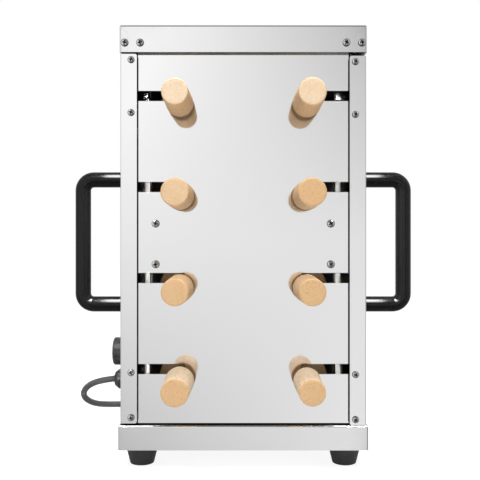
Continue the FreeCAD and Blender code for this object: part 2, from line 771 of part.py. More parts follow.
def chain_loop(wheels):
    """Closed line round wheels (x, z, radius, sense), sense +1 where it turns anticlockwise."""
    count = len(wheels)
    tangents = []
    for n in range(count):
        x0, z0, r0, s0 = wheels[n]
        x1, z1, r1, s1 = wheels[(n + 1) % count]
        span = math.hypot(x1 - x0, z1 - z0)
        heading = math.atan2(z1 - z0, x1 - x0) - math.asin((s1 * r1 - s0 * r0) / span)
        right = (math.sin(heading), -math.cos(heading))
        start = V(x0 + s0 * r0 * right[0], y_at(sprocket_middle), z0 + s0 * r0 * right[1])
        end = V(x1 + s1 * r1 * right[0], y_at(sprocket_middle), z1 + s1 * r1 * right[1])
        tangents.append((start, end))
    edges = []
    for n in range(count):
        start, end = tangents[n]
        edges.append(Part.LineSegment(start, end).toShape())
        follow = tangents[(n + 1) % count][0]
        x1, z1, r1, s1 = wheels[(n + 1) % count]
        centre = V(x1, y_at(sprocket_middle), z1)
        middle = (end - centre) + (follow - centre)
        middle.normalize()
        turn = (end - centre).getAngle(follow - centre)
        edges.append(Part.Arc(end, centre + middle * r1, follow).toShape() if turn > touch else None)
    return Part.Wire([e for e in edges if e])


# Drive chain, drawn as a closed band just clear of the teeth
band_r = tip_radius + chain_gap + chain_height / 2.0
low, high = axis_levels[0], axis_levels[-1]
loop = chain_loop([
    (-column_half, low, band_r, 1), (0.0, motor_level, band_r, -1), (column_half, low, band_r, 1),
    (column_half, high, band_r, 1), (-column_half, high, band_r, 1),
])
outer = Part.Face(Part.Wire(loop.makeOffset2D(chain_height / 2.0).Edges))
inner = Part.Face(Part.Wire(loop.makeOffset2D(-chain_height / 2.0).Edges))
band = outer.cut(inner) if outer.Area > inner.Area else inner.cut(outer)
band.translate(V(0, -chain_width / 2.0, 0))
save("drive_chain", band.extrude(V(0, chain_width, 0)))


def door(low):
    """Left door: a folded pan with mitred inner flanges, and the two stiffeners in its flange."""
    high = low + door_height
    face = -side_half
    skin = block(face, face + sheet, 0.0, door_depth, low, high)
    front = block(face, face + front_flange, 0.0, sheet, low, high)

    def inner_corner(middle, along):
        return abs(along.y) > 0.9 and abs(middle.x - (face + front_flange)) < touch

    front = round_edges(front, flange_corner, inner_corner)
    reach = inner_flange
    rear = polygon_face([V(face, y_at(door_depth), low), V(face + reach, y_at(door_depth), low + reach),
                         V(face + reach, y_at(door_depth), high - reach),
                         V(face, y_at(door_depth), high)]).extrude(V(0, -sheet, 0))
    ends = []
    for level, up in ((low, 1.0), (high, -1.0)):
        outline = [V(face, y_at(0.0), level), V(face + reach, y_at(reach), level),
                   V(face + reach, y_at(door_depth - reach), level), V(face, y_at(door_depth), level)]
        ends.append(polygon_face(outline).extrude(V(0, 0, up * sheet)))
    whole = fuse([skin, front, rear] + ends)

    def front_fold(middle, along):
        at_corner = abs(middle.x - face) < touch and abs(middle.y - y_at(0.0)) < touch
        return abs(along.z) > 0.9 and at_corner

    whole = round_edges(whole, edge_round / 2.0, front_fold)
    holes = [screw_hole(V(face + door_screw_inset, y_at(0.0), low + up), FRONT, short_screw)
             for up in door_screw_ups]
    hole_r = pin_d / 2.0 + screw_hole_clearance
    holes.append(rod_z(-pivot_x, pivot_depth, hole_r, low - past, low + sheet + past))
    holes.append(rod_z(-pivot_x, pivot_depth, hole_r, high - sheet - past, high + past))
    screw_r = handle_screw_d / 2.0 + screw_hole_clearance
    for e in (-1, 1):
        level = handle_level + e * handle_pitch / 2.0
        holes.append(rod_x(handle_depth, level, screw_r, face - past, face + sheet + past))
    whole = whole.cut(holes)
    stiffeners = []
    for z0 in (low + sheet + stiffener_end_gap, high - sheet - stiffener_end_gap - stiffener_height):
        strip = block(face + sheet + fit_gap, face + front_flange - sheet, sheet, sheet + thick_sheet,
                      z0, z0 + stiffener_height)
        strip_holes = [screw_hole(V(face + door_screw_inset, y_at(0.0), low + up), FRONT, short_screw)
                       for up in door_screw_ups]
        stiffeners.append(strip.cut(strip_holes))
    return [whole] + stiffeners


def door_pins(low):
    """Upper and lower pivot of a left door: a welded block with the pin on it."""
    high = low + door_height
    half = pin_inset_x - sheet
    pins = []
    block_back = pivot_depth + half - pin_block_gap
    low_block = block(-pivot_x - half, -pivot_x + half, pivot_depth - half, block_back,
                      low + sheet, low + sheet + pin_block_height)
    low_pin = rod_z(-pivot_x, pivot_depth, pin_d / 2.0, base_top - thick_sheet - pin_reach, low + sheet)
    pins.append(fuse([low_block, low_pin]))
    high_block = block(-pivot_x - half, -pivot_x + half, pivot_depth - half, block_back,
                       high - sheet - pin_block_height, high - sheet)
    high_pin = rod_z(-pivot_x, pivot_depth, pin_d / 2.0, high - sheet, ceiling_low + sheet + pin_reach)
    pins.append(fuse([high_block, high_pin]))
    return pins


def door_screws(low):
    """Flange screws of a left door, and the inner screws that hold its handle."""
    face = -side_half
    group = [screw(V(face + door_screw_inset, y_at(0.0), low + up), FRONT, door_screw_d, short_screw)
             for up in door_screw_ups]
    for e in (-1, 1):
        level = handle_level + e * handle_pitch / 2.0
        head = rod_x(handle_depth, level, handle_screw_d, face + sheet, face + sheet + head_rise)
        shank = rod_x(handle_depth, level, handle_screw_d / 2.0, face + sheet,
                      face - handle_foot - handle_screw_reach)
        group.append(fuse([head, shank]))
    return group


def handle():
    """Left handle: a bent round tube on two washers, drilled for the inner screws."""
    foot_x = -side_half
    tube_x = foot_x - handle_foot
    far_x = -handle_reach + handle_tube_d / 2.0
    y = y_at(handle_depth)
    low = handle_level - handle_pitch / 2.0
    high = handle_level + handle_pitch / 2.0
    bend = handle_bend
    inset = bend * (1.0 - math.sqrt(0.5))
    bent_x = far_x + bend
    low_middle = V(far_x + inset, y, low + inset)
    high_middle = V(far_x + inset, y, high - inset)
    edges = [
        Part.LineSegment(V(tube_x, y, low), V(bent_x, y, low)).toShape(),
        Part.Arc(V(bent_x, y, low), low_middle, V(far_x, y, low + bend)).toShape(),
        Part.LineSegment(V(far_x, y, low + bend), V(far_x, y, high - bend)).toShape(),
        Part.Arc(V(far_x, y, high - bend), high_middle, V(bent_x, y, high)).toShape(),
        Part.LineSegment(V(bent_x, y, high), V(tube_x, y, high)).toShape(),
    ]
    circle = Part.Wire(Part.makeCircle(handle_tube_d / 2.0, V(tube_x, y, low), LEFT))
    tube = Part.Wire(edges).makePipeShell([circle], True, False)
    solids = [tube]
    for level in (low, high):
        solids.append(rod_x(handle_depth, level, handle_foot_d / 2.0, tube_x, foot_x))
    screw_r = handle_screw_d / 2.0 + glue_gap
    holes = [rod_x(handle_depth, level, screw_r, foot_x + past,
                   tube_x - handle_screw_reach - past) for level in (low, high)]
    return [solid.cut(holes) for solid in solids]


# Doors with their pins, screws and handles
for word, low in door_lows.items():
    place = mirrored if word == "right" else Part.Shape.copy
    save(word + "_door", [place(p) for p in door(low)])
    save(word + "_door_pins", [place(p) for p in door_pins(low)])
    save(word + "_door_screws", [place(p) for p in door_screws(low)])
    save(word + "_handle", [place(p) for p in handle()])

# Magnetic door catches on the back of the front panel
catches = []
for s in (-1, 1):
    ear_z = catch_screw_pitch / 2.0 + catch_ear_half
    inner_x = catch_screw_x - catch_ear_half
    outer_x = side_half - sheet - catch_gap
    ear = block(s * inner_x, s * (catch_screw_x + catch_ear_half), panel_back, panel_back + catch_ear,
                catch_level - ear_z, catch_level + ear_z)
    body = block(s * inner_x, s * outer_x, panel_back, panel_back + catch_body_depth,
                 catch_level - catch_body_height / 2.0, catch_level + catch_body_height / 2.0)
    holes = [screw_hole(p, FRONT, screw_reach) for p in catch_screws]
    catches.append(fuse([ear, body]).cut(holes))
save("door_catches", catches)

# Control box: a folded cover on the left side panel, shaped round the edge of the base
box_shell = block(-box_face, -side_half, box_front, box_back, box_low, box_high)


def box_fold(middle, along):
    return abs(middle.x + box_face) < touch or (abs(along.x) > 0.9)


box_shell = round_edges(box_shell, box_round, box_fold)
box_shell = box_shell.cut(block(-box_face + thick_sheet, -side_half + past, box_front + thick_sheet,
                                box_back - thick_sheet, box_low + thick_sheet, box_high - thick_sheet))
tab = block(-side_half - fit_gap - sheet, -side_half - fit_gap, box_front + box_round, box_back - box_round,
            box_high - thick_sheet, box_high + box_tab)
box_shell = fuse([box_shell, tab])
box_shell = box_shell.cut(block(-base_half - box_gap, 0.0, box_front - past, box_back + past,
                                box_low - past, base_top + box_gap))
box_shell = box_shell.cut(block(-side_half - fit_gap, 0.0, box_front - past, box_back + past,
                                box_low - past, box_high + box_tab + past))
stem_hole_r = thermostat_neck_d / 2.0 + fit_gap / 2.0
body_half_y = bezel_width / 2.0 - switch_wall
body_half_z = bezel_height / 2.0 - switch_wall
face_cuts = [
    rod_x(control_depth, knob_up, stem_hole_r, -box_face - past, -box_face + thick_sheet + past),
    rod_x(control_depth, gland_up, gland_thread_d / 2.0 + fit_gap / 2.0, -box_face - past,
          -box_face + thick_sheet + past),
    rod_x(control_depth, lamp_up, lamp_d / 2.0 + fit_gap / 2.0, -box_face - past,
          -box_face + thick_sheet + past),
    block(-box_face - past, -box_face + thick_sheet + past, control_depth - body_half_y - fit_gap / 2.0,
          control_depth + body_half_y + fit_gap / 2.0, switch_up - body_half_z - fit_gap / 2.0,
          switch_up + body_half_z + fit_gap / 2.0),
]
box_shell = box_shell.cut(face_cuts + [screw_hole(p, LEFT, short_screw) for p in box_screws])
save("control_box", box_shell)

# Thermostat: body behind the box face, threaded neck through it
neck = rod_x(control_depth, knob_up, thermostat_neck_d / 2.0, -box_face, -box_face + thick_sheet)
half = thermostat_side / 2.0
body = block(-box_face + thick_sheet, -box_face + thick_sheet + thermostat_length, control_depth - half,
             control_depth + half, knob_up - half, knob_up + half)
stem_r = knob_stem_d / 2.0
thermostat = fuse([neck, body]).cut(rod_x(control_depth, knob_up, stem_r + running_clearance,
                                          -box_face - past, -box_face + thick_sheet + stem_reach + past))
save("thermostat", thermostat)

# Thermostat knob: domed disc with a rounded rim, a grip bar between two grooves, and its stem
knob_r = knob_d / 2.0
knob_base = box_face + knob_gap
knob_face = knob_base + knob_length
knob_rim = knob_face - knob_dome
crown = (knob_r ** 2 + knob_dome ** 2) / (2.0 * knob_dome)
disc = rod_x(control_depth, knob_up, knob_r, -knob_face, -knob_base)
ball = Part.makeSphere(crown, V(-knob_face + crown, y_at(control_depth), knob_up))
disc = disc.common(ball)
rim = [e for e in disc.Edges if e.Curve.TypeId == "Part::GeomCircle"
       and e.Vertexes[0].X < -knob_base - knob_skirt]
disc = disc.makeFillet(knob_round, rim)
grooves = [block(-knob_face - past, -knob_base - knob_skirt, control_depth - knob_r - past,
                 control_depth + knob_r + past, knob_up + e * knob_bar / 2.0 - knob_groove / 2.0,
                 knob_up + e * knob_bar / 2.0 + knob_groove / 2.0) for e in (-1, 1)]
keep = rod_x(control_depth, knob_up, knob_r - knob_groove_depth, -knob_rim + knob_groove_depth, -knob_base)
grooves = [g.cut(keep) for g in grooves]
stem = rod_x(control_depth, knob_up, stem_r, -knob_base - stem_root, -box_face + thick_sheet + stem_reach)
save("thermostat_knob", fuse([disc.cut(grooves), stem]))

# Rocker switch: housing with a bezel, and the rocker tilted to its off side at rest
bezel = block(-box_face - bezel_rise, -box_face, control_depth - bezel_width / 2.0,
              control_depth + bezel_width / 2.0, switch_up - bezel_height / 2.0,
              switch_up + bezel_height / 2.0)
bezel = round_edges(bezel, bezel_round, lambda middle, along: middle.x < -box_face - bezel_rise + touch)
body = block(-box_face, -box_face + switch_depth, control_depth - body_half_y, control_depth + body_half_y,
             switch_up - body_half_z, switch_up + body_half_z)
cavity_y = body_half_y - switch_wall
cavity_z = body_half_z - switch_wall
cavity = block(-box_face - bezel_rise - past, -box_face + switch_depth - switch_wall,
               control_depth - cavity_y, control_depth + cavity_y, switch_up - cavity_z,
               switch_up + cavity_z)
pivot_level_x = -box_face + rocker_pivot_in
pair = rod_y(pivot_level_x, switch_up, trunnion_d / 2.0, control_depth - cavity_y - fit_gap,
             control_depth + cavity_y + fit_gap)
trunnions = pair.cut(rod_y(pivot_level_x, switch_up, trunnion_d, control_depth - cavity_y + trunnion_reach,
                           control_depth + cavity_y - trunnion_reach))
save("rocker_housing", fuse([fuse([bezel, body]).cut(cavity)] + trunnions.Solids))

rocker_y = cavity_y - rocker_gap
rocker_z = cavity_z - 2.5 * rocker_gap
top_x = -box_face - bezel_rise
slope = math.tan(math.radians(rocker_angle)) * rocker_z
outline = [
    V(top_x - rocker_rise - slope, 0, switch_up + rocker_z), V(top_x - rocker_rise, 0, switch_up),
    V(top_x - rocker_rise - slope, 0, switch_up - rocker_z), V(pivot_level_x, 0, switch_up - rocker_z),
    V(pivot_level_x + rocker_drop, 0, switch_up - rocker_heel),
    V(pivot_level_x + rocker_drop, 0, switch_up + rocker_heel),
    V(pivot_level_x, 0, switch_up + rocker_z),
]
outline = [V(p.x, y_at(control_depth) - rocker_y, p.z) for p in outline]
rocker = polygon_face(outline).extrude(V(0, 2.0 * rocker_y, 0))
dimple_r = trunnion_d / 2.0 + running_clearance
dimples = [rod_y(pivot_level_x, switch_up, dimple_r, control_depth + e * rocker_y - dimple_depth,
                 control_depth + e * rocker_y + dimple_depth) for e in (-1, 1)]
rocker = rocker.cut(dimples)
rocker.rotate(V(pivot_level_x, y_at(control_depth), switch_up), V(0, 1, 0), -rocker_angle)
save("rocker", rocker)

# Pilot lamp
lamp_ring = rod_x(control_depth, lamp_up, lamp_bezel_d / 2.0, -box_face - lamp_bezel, -box_face)
lamp_lens = rod_x(control_depth, lamp_up, lamp_d / 2.0 - lamp_step, -box_face - lamp_rise, -box_face)
rim = [e for e in lamp_lens.Edges if e.Curve.TypeId == "Part::GeomCircle"
       and e.Vertexes[0].X < -box_face - lamp_rise + touch]
lamp_lens = lamp_lens.makeFillet(lamp_round, rim)
lamp_tail = rod_x(control_depth, lamp_up, lamp_d / 2.0, -box_face, -box_face + lamp_body)
save("pilot_lamp", fuse([lamp_ring, lamp_lens, lamp_tail]))

# Cable gland: hexagonal base and dome nut outside, thread and locknut inside the box


def hexagon(corner_d, x0, x1):
    radius = corner_d / 2.0
    corners = [V(-x0, y_at(control_depth) + radius * math.cos(math.pi / 3.0 * n),
                 gland_up + radius * math.sin(math.pi / 3.0 * n)) for n in range(6)]
    return polygon_face(corners).extrude(V(x0 - x1, 0, 0))


nut_start = box_face + gland_base
nut_end = nut_start + gland_nut
cone_end = nut_end + gland_cone
base_hex = hexagon(gland_corner_d, box_face, nut_start - gland_waist)
waist = rod_x(control_depth, gland_up, gland_thread_d / 2.0, -nut_start, -box_face)
nut_hex = hexagon(gland_corner_d, nut_start, nut_end)
cone = Part.makeCone(gland_corner_d / 2.0 - gland_chamfer, gland_cone_d / 2.0, gland_cone,
                     V(-nut_end, y_at(control_depth), gland_up), V(-1, 0, 0))
lip = Part.makeCone(gland_cone_d / 2.0, gland_mouth_d / 2.0, gland_lip,
                    V(-cone_end, y_at(control_depth), gland_up), V(-1, 0, 0))
thread = rod_x(control_depth, gland_up, gland_thread_d / 2.0, -box_face, -box_face + gland_inside)
ring = rod_x(control_depth, gland_up, gland_corner_d / 2.0, -box_face + thick_sheet,
             -box_face + thick_sheet + locknut)
gland = fuse([base_hex, waist, nut_hex, cone, lip, thread, ring])
save("cable_gland", gland)


def tube_path(points):
    """Straight runs joined by tangent arcs, each as large as its two runs allow."""
    edges = []
    radii = []
    length = 0.0
    start = points[0]
    for n in range(1, len(points) - 1):
        before, here, after = points[n - 1], points[n], points[n + 1]
        back = before - here
        ahead = after - here
        reach = arc_share * min(back.Length, ahead.Length)
        back.normalize()
        ahead.normalize()
        half_turn = (math.pi - back.getAngle(ahead)) / 2.0
        radius = reach / math.tan(half_turn)
        enter = here + back * reach
        leave = here + ahead * reach
        inward = back + ahead
        inward.normalize()
        middle = here + inward * (radius / math.cos(half_turn) - radius)
        edges.append(Part.LineSegment(start, enter).toShape())
        edges.append(Part.Arc(enter, middle, leave).toShape())
        length += (enter - start).Length + radius * 2.0 * half_turn
        radii.append(radius)
        start = leave
    edges.append(Part.LineSegment(start, points[-1]).toShape())
    length += (points[-1] - start).Length
    return Part.Wire(edges), length, radii


# Free stretch of the mains cord, from the gland round the machine's corner to the coil
route = [V(-gland_end, y_at(control_depth), gland_up)]
route += [V(-side_half - out, y_at(control_depth) + back, level) for out, back, level in cord_route]
first_way = (route[1] - route[0]).normalize()
path, free_length, radii = tube_path([route[0] - first_way * cord_lead] + route[1:])
free_length -= cord_lead
section = Part.Wire(Part.makeCircle(cord_d / 2.0, route[0] - first_way * cord_lead, first_way))
cord = path.makePipeShell([section], True, False)
cord = cord.cut(rod_x(control_depth, gland_up, gland_corner_d / 2.0, -gland_end, -box_face))
save("power_cord", cord)
print("cord radii", " ".join("%.0f" % r for r in radii))
print("cord runs", " ".join("%.0f" % (b - a).Length for a, b in zip(route, route[1:])))
cord_section = math.pi * cord_d ** 2 / 4.0
print("cord length %.1f, volume over section %.1f" % (free_length, cord.Volume / cord_section))


def coil_point(turn, centre):
    """Point of the coil's line: turn counts from the reversal, negative in the lower layer."""
    radius = coil_inner + coil_pitch * abs(turn)
    angle = math.radians(coil_heading + 90.0) - 2.0 * math.pi * (turn + coil_low_turns)
    rise = min(max(turn / coil_climb + 0.5, 0.0), 1.0)
    level = cord_d / 2.0 + coil_pitch * (3.0 * rise ** 2 - 2.0 * rise ** 3)
    return V(centre.x + radius * math.cos(angle), centre.y + radius * math.sin(angle), level)


def coil_heading_at(turn, centre):
    step = 0.001
    ahead = coil_point(turn + step, centre) - coil_point(turn - step, centre)
    ahead.normalize()
    return ahead


def biarc(p0, t0, p1, t1):
    """Two arcs that leave p0 along t0 and reach p1 along t1."""
    chord = p1 - p0
    both = t0 + t1
    a = both.dot(both) - 4.0
    b = -2.0 * chord.dot(both)
    c = chord.dot(chord)
    reach = (-b - math.sqrt(b * b - 4.0 * a * c)) / (2.0 * a)
    corner0 = p0 + t0 * reach
    corner1 = p1 - t1 * reach
    joint = (corner0 + corner1) * 0.5
    arcs = []
    for start, corner, end in ((p0, corner0, joint), (joint, corner1, p1)):
        half_chord = (end - start) * 0.5
        middle = start + half_chord
        outward = corner - middle
        lean = math.atan2(outward.Length, half_chord.Length)
        outward.normalize()
        arcs.append(Part.Arc(start, middle + outward * (half_chord.Length * math.tan(lean / 2.0)), end))
    return arcs


# Put-away coil behind the machine: spirals in below, climbs one layer, spirals out above
coil_outer = coil_inner + coil_pitch * coil_low_turns
entry = route[-1]
heading = V(math.cos(math.radians(coil_heading)), math.sin(math.radians(coil_heading)), 0)
inward = V(heading.y, -heading.x, 0)
centre = entry + heading * cord_d + inward * coil_outer
steps = int(round((coil_low_turns + coil_high_turns) / coil_step))
turns = [-coil_low_turns + coil_step * n for n in range(steps + 1)]
pieces = []
last = None
for before, after in zip(turns, turns[1:]):
    p0, p1 = coil_point(before, centre), coil_point(after, centre)
    t0 = last or heading
    t1 = coil_heading_at(after, centre)
    pieces += biarc(p0, t0, p1, t1)
    last = t1
coil_end = coil_point(turns[-1], centre)
tail_way = V(last.x, last.y, 0)
tail_way.normalize()
plug_start = coil_end + tail_way * coil_tail
edges = [Part.LineSegment(entry, coil_point(turns[0], centre)).toShape()]
edges += [arc.toShape() for arc in pieces]
edges.append(Part.LineSegment(coil_end, plug_start).toShape())
coil_path = Part.Wire(edges)
section = Part.Wire(Part.makeCircle(cord_d / 2.0, entry, heading))
coil = coil_path.makePipeShell([section], True, False)
save("cord_coil", coil)
coil_length = sum(edge.Length for edge in edges)
least = min(arc.toShape().Curve.Radius for arc in pieces)
samples = 600
whole_turns = turns[-1] - turns[0]
trail = [coil_point(turns[0] + whole_turns * n / samples, centre) for n in range(samples + 1)]
half_turn_on = int(0.5 * samples / whole_turns)
apart = min((a - b).Length for i, a in enumerate(trail) for b in trail[i + half_turn_on:])
print("coil length %.1f, least radius %.1f, least gap to itself %.2f, volume over section %.1f"
      % (coil_length, least, apart - cord_d, coil.Volume / cord_section))
print("cord in all %.0f" % (free_length + coil_length))

# Mains plug lying beside the coil, built along +X and turned into place
neck = Part.makeCone(plug_neck_d / 2.0, plug_thickness / 2.0 - plug_shoulder, plug_neck, V(0, 0, 0),
                     V(1, 0, 0))
shell = Part.makeCylinder(plug_width / 2.0, plug_length, V(plug_neck, 0, 0), V(1, 0, 0))
flat = Part.makeBox(plug_length, plug_width, plug_thickness,
                    V(plug_neck, -plug_width / 2.0, -plug_thickness / 2.0))
shell = shell.common(flat)
rim = [e for e in shell.Edges if abs(e.CenterOfMass.x - plug_neck) < touch]
shell = shell.makeFillet(plug_round, rim)
plug_face = plug_neck + plug_length
pins = [Part.makeCylinder(plug_pin_d / 2.0, plug_pin_length, V(plug_face, e * plug_pin_pitch / 2.0, 0),
                          V(1, 0, 0)) for e in (-1, 1)]
plug = fuse([neck, shell] + pins)
plug.Placement = FreeCAD.Placement(plug_start, FreeCAD.Rotation(V(1, 0, 0), tail_way))
save("plug", plug)

# Screws of the casing
screws = [screw(p, FRONT, cap_screw_d, short_screw) for p in cap_screws]
screws += [screw(p, BACK, rear_screw_d, short_screw) for p in cap_rear_screws + rear_screws]
screws += [screw(p, FRONT, panel_screw_d, screw_reach) for p in catch_screws]
screws += [screw(p, LEFT, rear_screw_d, short_screw) for p in box_screws]
save("casing_screws", screws)

print(len(names), "nodes")
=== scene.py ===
import math

import bpy
import numpy as np
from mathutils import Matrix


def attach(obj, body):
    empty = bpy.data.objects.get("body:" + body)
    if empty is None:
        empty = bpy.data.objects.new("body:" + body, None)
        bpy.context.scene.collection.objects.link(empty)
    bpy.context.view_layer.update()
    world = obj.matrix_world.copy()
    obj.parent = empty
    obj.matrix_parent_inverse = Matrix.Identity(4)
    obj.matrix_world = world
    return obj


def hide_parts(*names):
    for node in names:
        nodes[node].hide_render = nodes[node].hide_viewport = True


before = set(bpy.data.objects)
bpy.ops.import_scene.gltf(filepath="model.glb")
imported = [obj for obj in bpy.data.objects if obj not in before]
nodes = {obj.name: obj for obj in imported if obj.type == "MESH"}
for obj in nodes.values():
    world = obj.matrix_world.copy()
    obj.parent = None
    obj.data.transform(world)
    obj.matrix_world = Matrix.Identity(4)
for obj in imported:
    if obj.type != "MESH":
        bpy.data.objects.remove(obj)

# Table-top oven for chimney cakes: polished stainless casing, eight wooden rollers in two columns,
# U handles on two side doors, electric controls and mains cord on the left.
# Metres, +X to the cook's right, -Y towards the cook, +Z up.
scene = bpy.context.scene
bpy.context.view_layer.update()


# Camera in front of the machine, level with the middle of the oven. One pixel of the 480 pixel
# frame is 1.27 mm at the front of the casing, 0.92 m from the lens.
casing_front = -0.140
lens_distance = 0.92
pixel_at_front = 0.00127
camera_data = bpy.data.cameras.new("camera")
camera_data.sensor_width = 36.0
camera_data.lens = 36.0 * (lens_distance / pixel_at_front) / 480.0
camera = bpy.data.objects.new("camera", camera_data)
camera.location = (-0.0042, casing_front - lens_distance, 0.2927)
camera.rotation_euler = (math.pi / 2.0, 0.0, 0.0)
scene.collection.objects.link(camera)
scene.camera = camera


# Mains cord: 10 mm rubber flex from the gland round the rear corner of the base. What the front
# view doesn't show is wound up in two layers behind the machine, with the plug beside it.
cord_thickness = 0.010
cord_route = np.array([
    (-208.5, 122.0, 66.7), (-230.0, 124.0, 64.0), (-253.0, 134.0, 54.5), (-267.0, 152.0, 38.5),
    (-267.5, 174.0, 22.0), (-254.0, 195.0, 9.0), (-230.5, 209.5, 5.0), (-200.5, 212.0, 5.0),
    (-175.5, 225.0, 5.0), (-160.5, 247.5, 5.0), (-157.0, 272.0, 5.0), (-157.0, 297.4, 5.0),
]) / 1000.0
coil_middle = np.array([-0.0910, 0.3074])
coil_inner_radius = 0.0442
turn_spacing = 0.0109
points_per_turn = 16
turns_below, turns_above = 2.0, 1.375
lead_to_plug = 0.052


def wound_points(first_turn, last_turn):
    """Spiral in below, climb half way round the innermost turn, spiral out above. The turn number
    is 0 at the innermost place; radius grows with its distance from 0, height follows a smooth step."""
    count = int(round((last_turn - first_turn) * points_per_turn)) + 1
    turn = np.linspace(first_turn, last_turn, count)
    radius = (coil_inner_radius + turn_spacing * np.abs(turn)) / math.cos(math.pi / points_per_turn)
    angle = math.pi - 2.0 * math.pi * (turn - first_turn)
    rise = np.clip(2.0 * turn + 0.5, 0.0, 1.0)
    height = cord_thickness / 2.0 + turn_spacing * (3.0 * rise ** 2 - 2.0 * rise ** 3)
    return np.column_stack([coil_middle[0] + radius * np.cos(angle),
                            coil_middle[1] + radius * np.sin(angle), height])


turns = wound_points(-turns_below, turns_above)
last_way = turns[-1] - turns[-2]
last_way[2] = 0.0
last_way /= np.linalg.norm(last_way)
cord_end = turns[-1] + last_way * lead_to_plug
line = np.concatenate([cord_route, turns, cord_end[None, :]])
cord_curve = bpy.data.curves.new("mains_cord", "CURVE")
cord_curve.dimensions = "3D"
cord_curve.bevel_depth = 1.0
cord_curve.bevel_resolution = 6
cord_curve.use_fill_caps = True
spline = cord_curve.splines.new("NURBS")
spline.points.add(len(line) - 1)
spline.points.foreach_set("co", np.column_stack([line, np.ones(len(line))]).astype(np.float32).ravel())
spline.points.foreach_set("radius", np.full(len(line), cord_thickness / 2.0, np.float32))
spline.order_u = 3
spline.use_endpoint_u = True
spline.resolution_u = 6
spline.use_smooth = True
mains_cord = bpy.data.objects.new("mains_cord", cord_curve)
scene.collection.objects.link(mains_cord)
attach(mains_cord, "casing")
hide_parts("power_cord", "cord_coil")


def add_node(tree, kind, values=None, **settings):
    """A shader node with its settings and the constants of its input sockets."""
    node = tree.nodes.new(kind)
    for setting, value in settings.items():
        setattr(node, setting, value)
    for socket, value in (values or {}).items():
        node.inputs[socket].default_value = value
    return node


def add_links(tree, *pairs):
    for source, target in pairs:
        tree.links.new(source, target)


def new_group(name, inputs, outputs):
    """A node group with its named sockets, each a pair of name and kind, and its two end nodes."""
    group = bpy.data.node_groups.new(name, "ShaderNodeTree")
    for way, sockets in (("INPUT", inputs), ("OUTPUT", outputs)):
        for socket, kind in sockets:
            group.interface.new_socket(socket, in_out=way, socket_type="NodeSocket" + kind)
    return group, group.nodes.new("NodeGroupInput"), group.nodes.new("NodeGroupOutput")


def finish_of(name, colour=None, metallic=0.0):
    """A new material with its node tree and its Principled shader."""
    material = bpy.data.materials.new(name)
    material.use_nodes = True
    shader = material.node_tree.nodes["Principled BSDF"]
    if colour:
        shader.inputs["Base Color"].default_value = (*colour, 1.0)
    shader.inputs["Metallic"].default_value = metallic
    return material, material.node_tree, shader


def use_group(tree, group, place, values):
    """The group placed in a material, on its Object coordinates and with its own values."""
    node = add_node(tree, "ShaderNodeGroup", values, node_tree=group)
    tree.links.new(place.outputs["Object"], node.inputs["Vector"])
    return node


# Group for the marks of handling: a slow noise, sharpened, spread from a low to a high value.
handling_marks, start, end = new_group(
    "handling_marks", (("Vector", "Vector"), ("Scale", "Float"), ("Low", "Float"), ("High", "Float")),
    (("Value", "Float"),))
noise = add_node(handling_marks, "ShaderNodeTexNoise", {"Detail": 5.0, "Roughness": 0.6})
spread = add_node(handling_marks, "ShaderNodeMapRange", {"From Min": 0.3, "From Max": 0.7})
add_links(handling_marks,
          (start.outputs["Vector"], noise.inputs["Vector"]),
          (start.outputs["Scale"], noise.inputs["Scale"]),
          (noise.outputs["Fac"], spread.inputs["Value"]),
          (start.outputs["Low"], spread.inputs["To Min"]),
          (start.outputs["High"], spread.inputs["To Max"]),
          (spread.outputs["Result"], end.inputs["Value"]))

# Group for fine relief: a noise stretched along one or two axes, as a change of the normal.
fine_grain, start, end = new_group(
    "fine_grain", (("Vector", "Vector"), ("Stretch", "Vector"), ("Distance", "Float"), ("Strength", "Float")),
    (("Normal", "Vector"),))
mapping = add_node(fine_grain, "ShaderNodeMapping")
noise = add_node(fine_grain, "ShaderNodeTexNoise", {"Scale": 1.0, "Detail": 4.0})
bump = add_node(fine_grain, "ShaderNodeBump")
add_links(fine_grain,
          (start.outputs["Vector"], mapping.inputs["Vector"]),
          (start.outputs["Stretch"], mapping.inputs["Scale"]),
          (mapping.outputs["Vector"], noise.inputs["Vector"]),
          (noise.outputs["Fac"], bump.inputs["Height"]),
          (start.outputs["Distance"], bump.inputs["Distance"]),
          (start.outputs["Strength"], bump.inputs["Strength"]),
          (bump.outputs["Normal"], end.inputs["Normal"]))


def add_marks(tree, shader, scale, low, high):
    """Roughness that changes slowly over the surface between low and high."""
    place = tree.nodes.new("ShaderNodeTexCoord")
    marks = use_group(tree, handling_marks, place, {"Scale": scale, "Low": low, "High": high})
    tree.links.new(marks.outputs["Value"], shader.inputs["Roughness"])
    return place


def add_grain(tree, shader, place, stretch, distance, strength):
    """Fine relief, with the noise stretched by the given scale on each axis."""
    grain = use_group(tree, fine_grain, place,
                      {"Stretch": stretch, "Distance": distance, "Strength": strength})
    tree.links.new(grain.outputs["Normal"], shader.inputs["Normal"])


# Rubber of the cord and the plug: smooth black-grey jacket with a dull bloom.
cord_rubber, tree, shader = finish_of("cord_rubber", (0.085, 0.086, 0.090))
place = add_marks(tree, shader, 60.0, 0.36, 0.52)
add_grain(tree, shader, place, (900.0, 900.0, 900.0), 0.0002, 0.15)
cord_curve.materials.append(cord_rubber)


# Mains plug: rubber moulded round the end of the cord, with a ribbed neck, two flats and a pair of
# nickelled round pins with domed tips. It lies on its flat beside the coil.
def full_turn(segments):
    """Angles of equally spaced points round a circle."""
    return np.arange(segments) * 2.0 * math.pi / segments


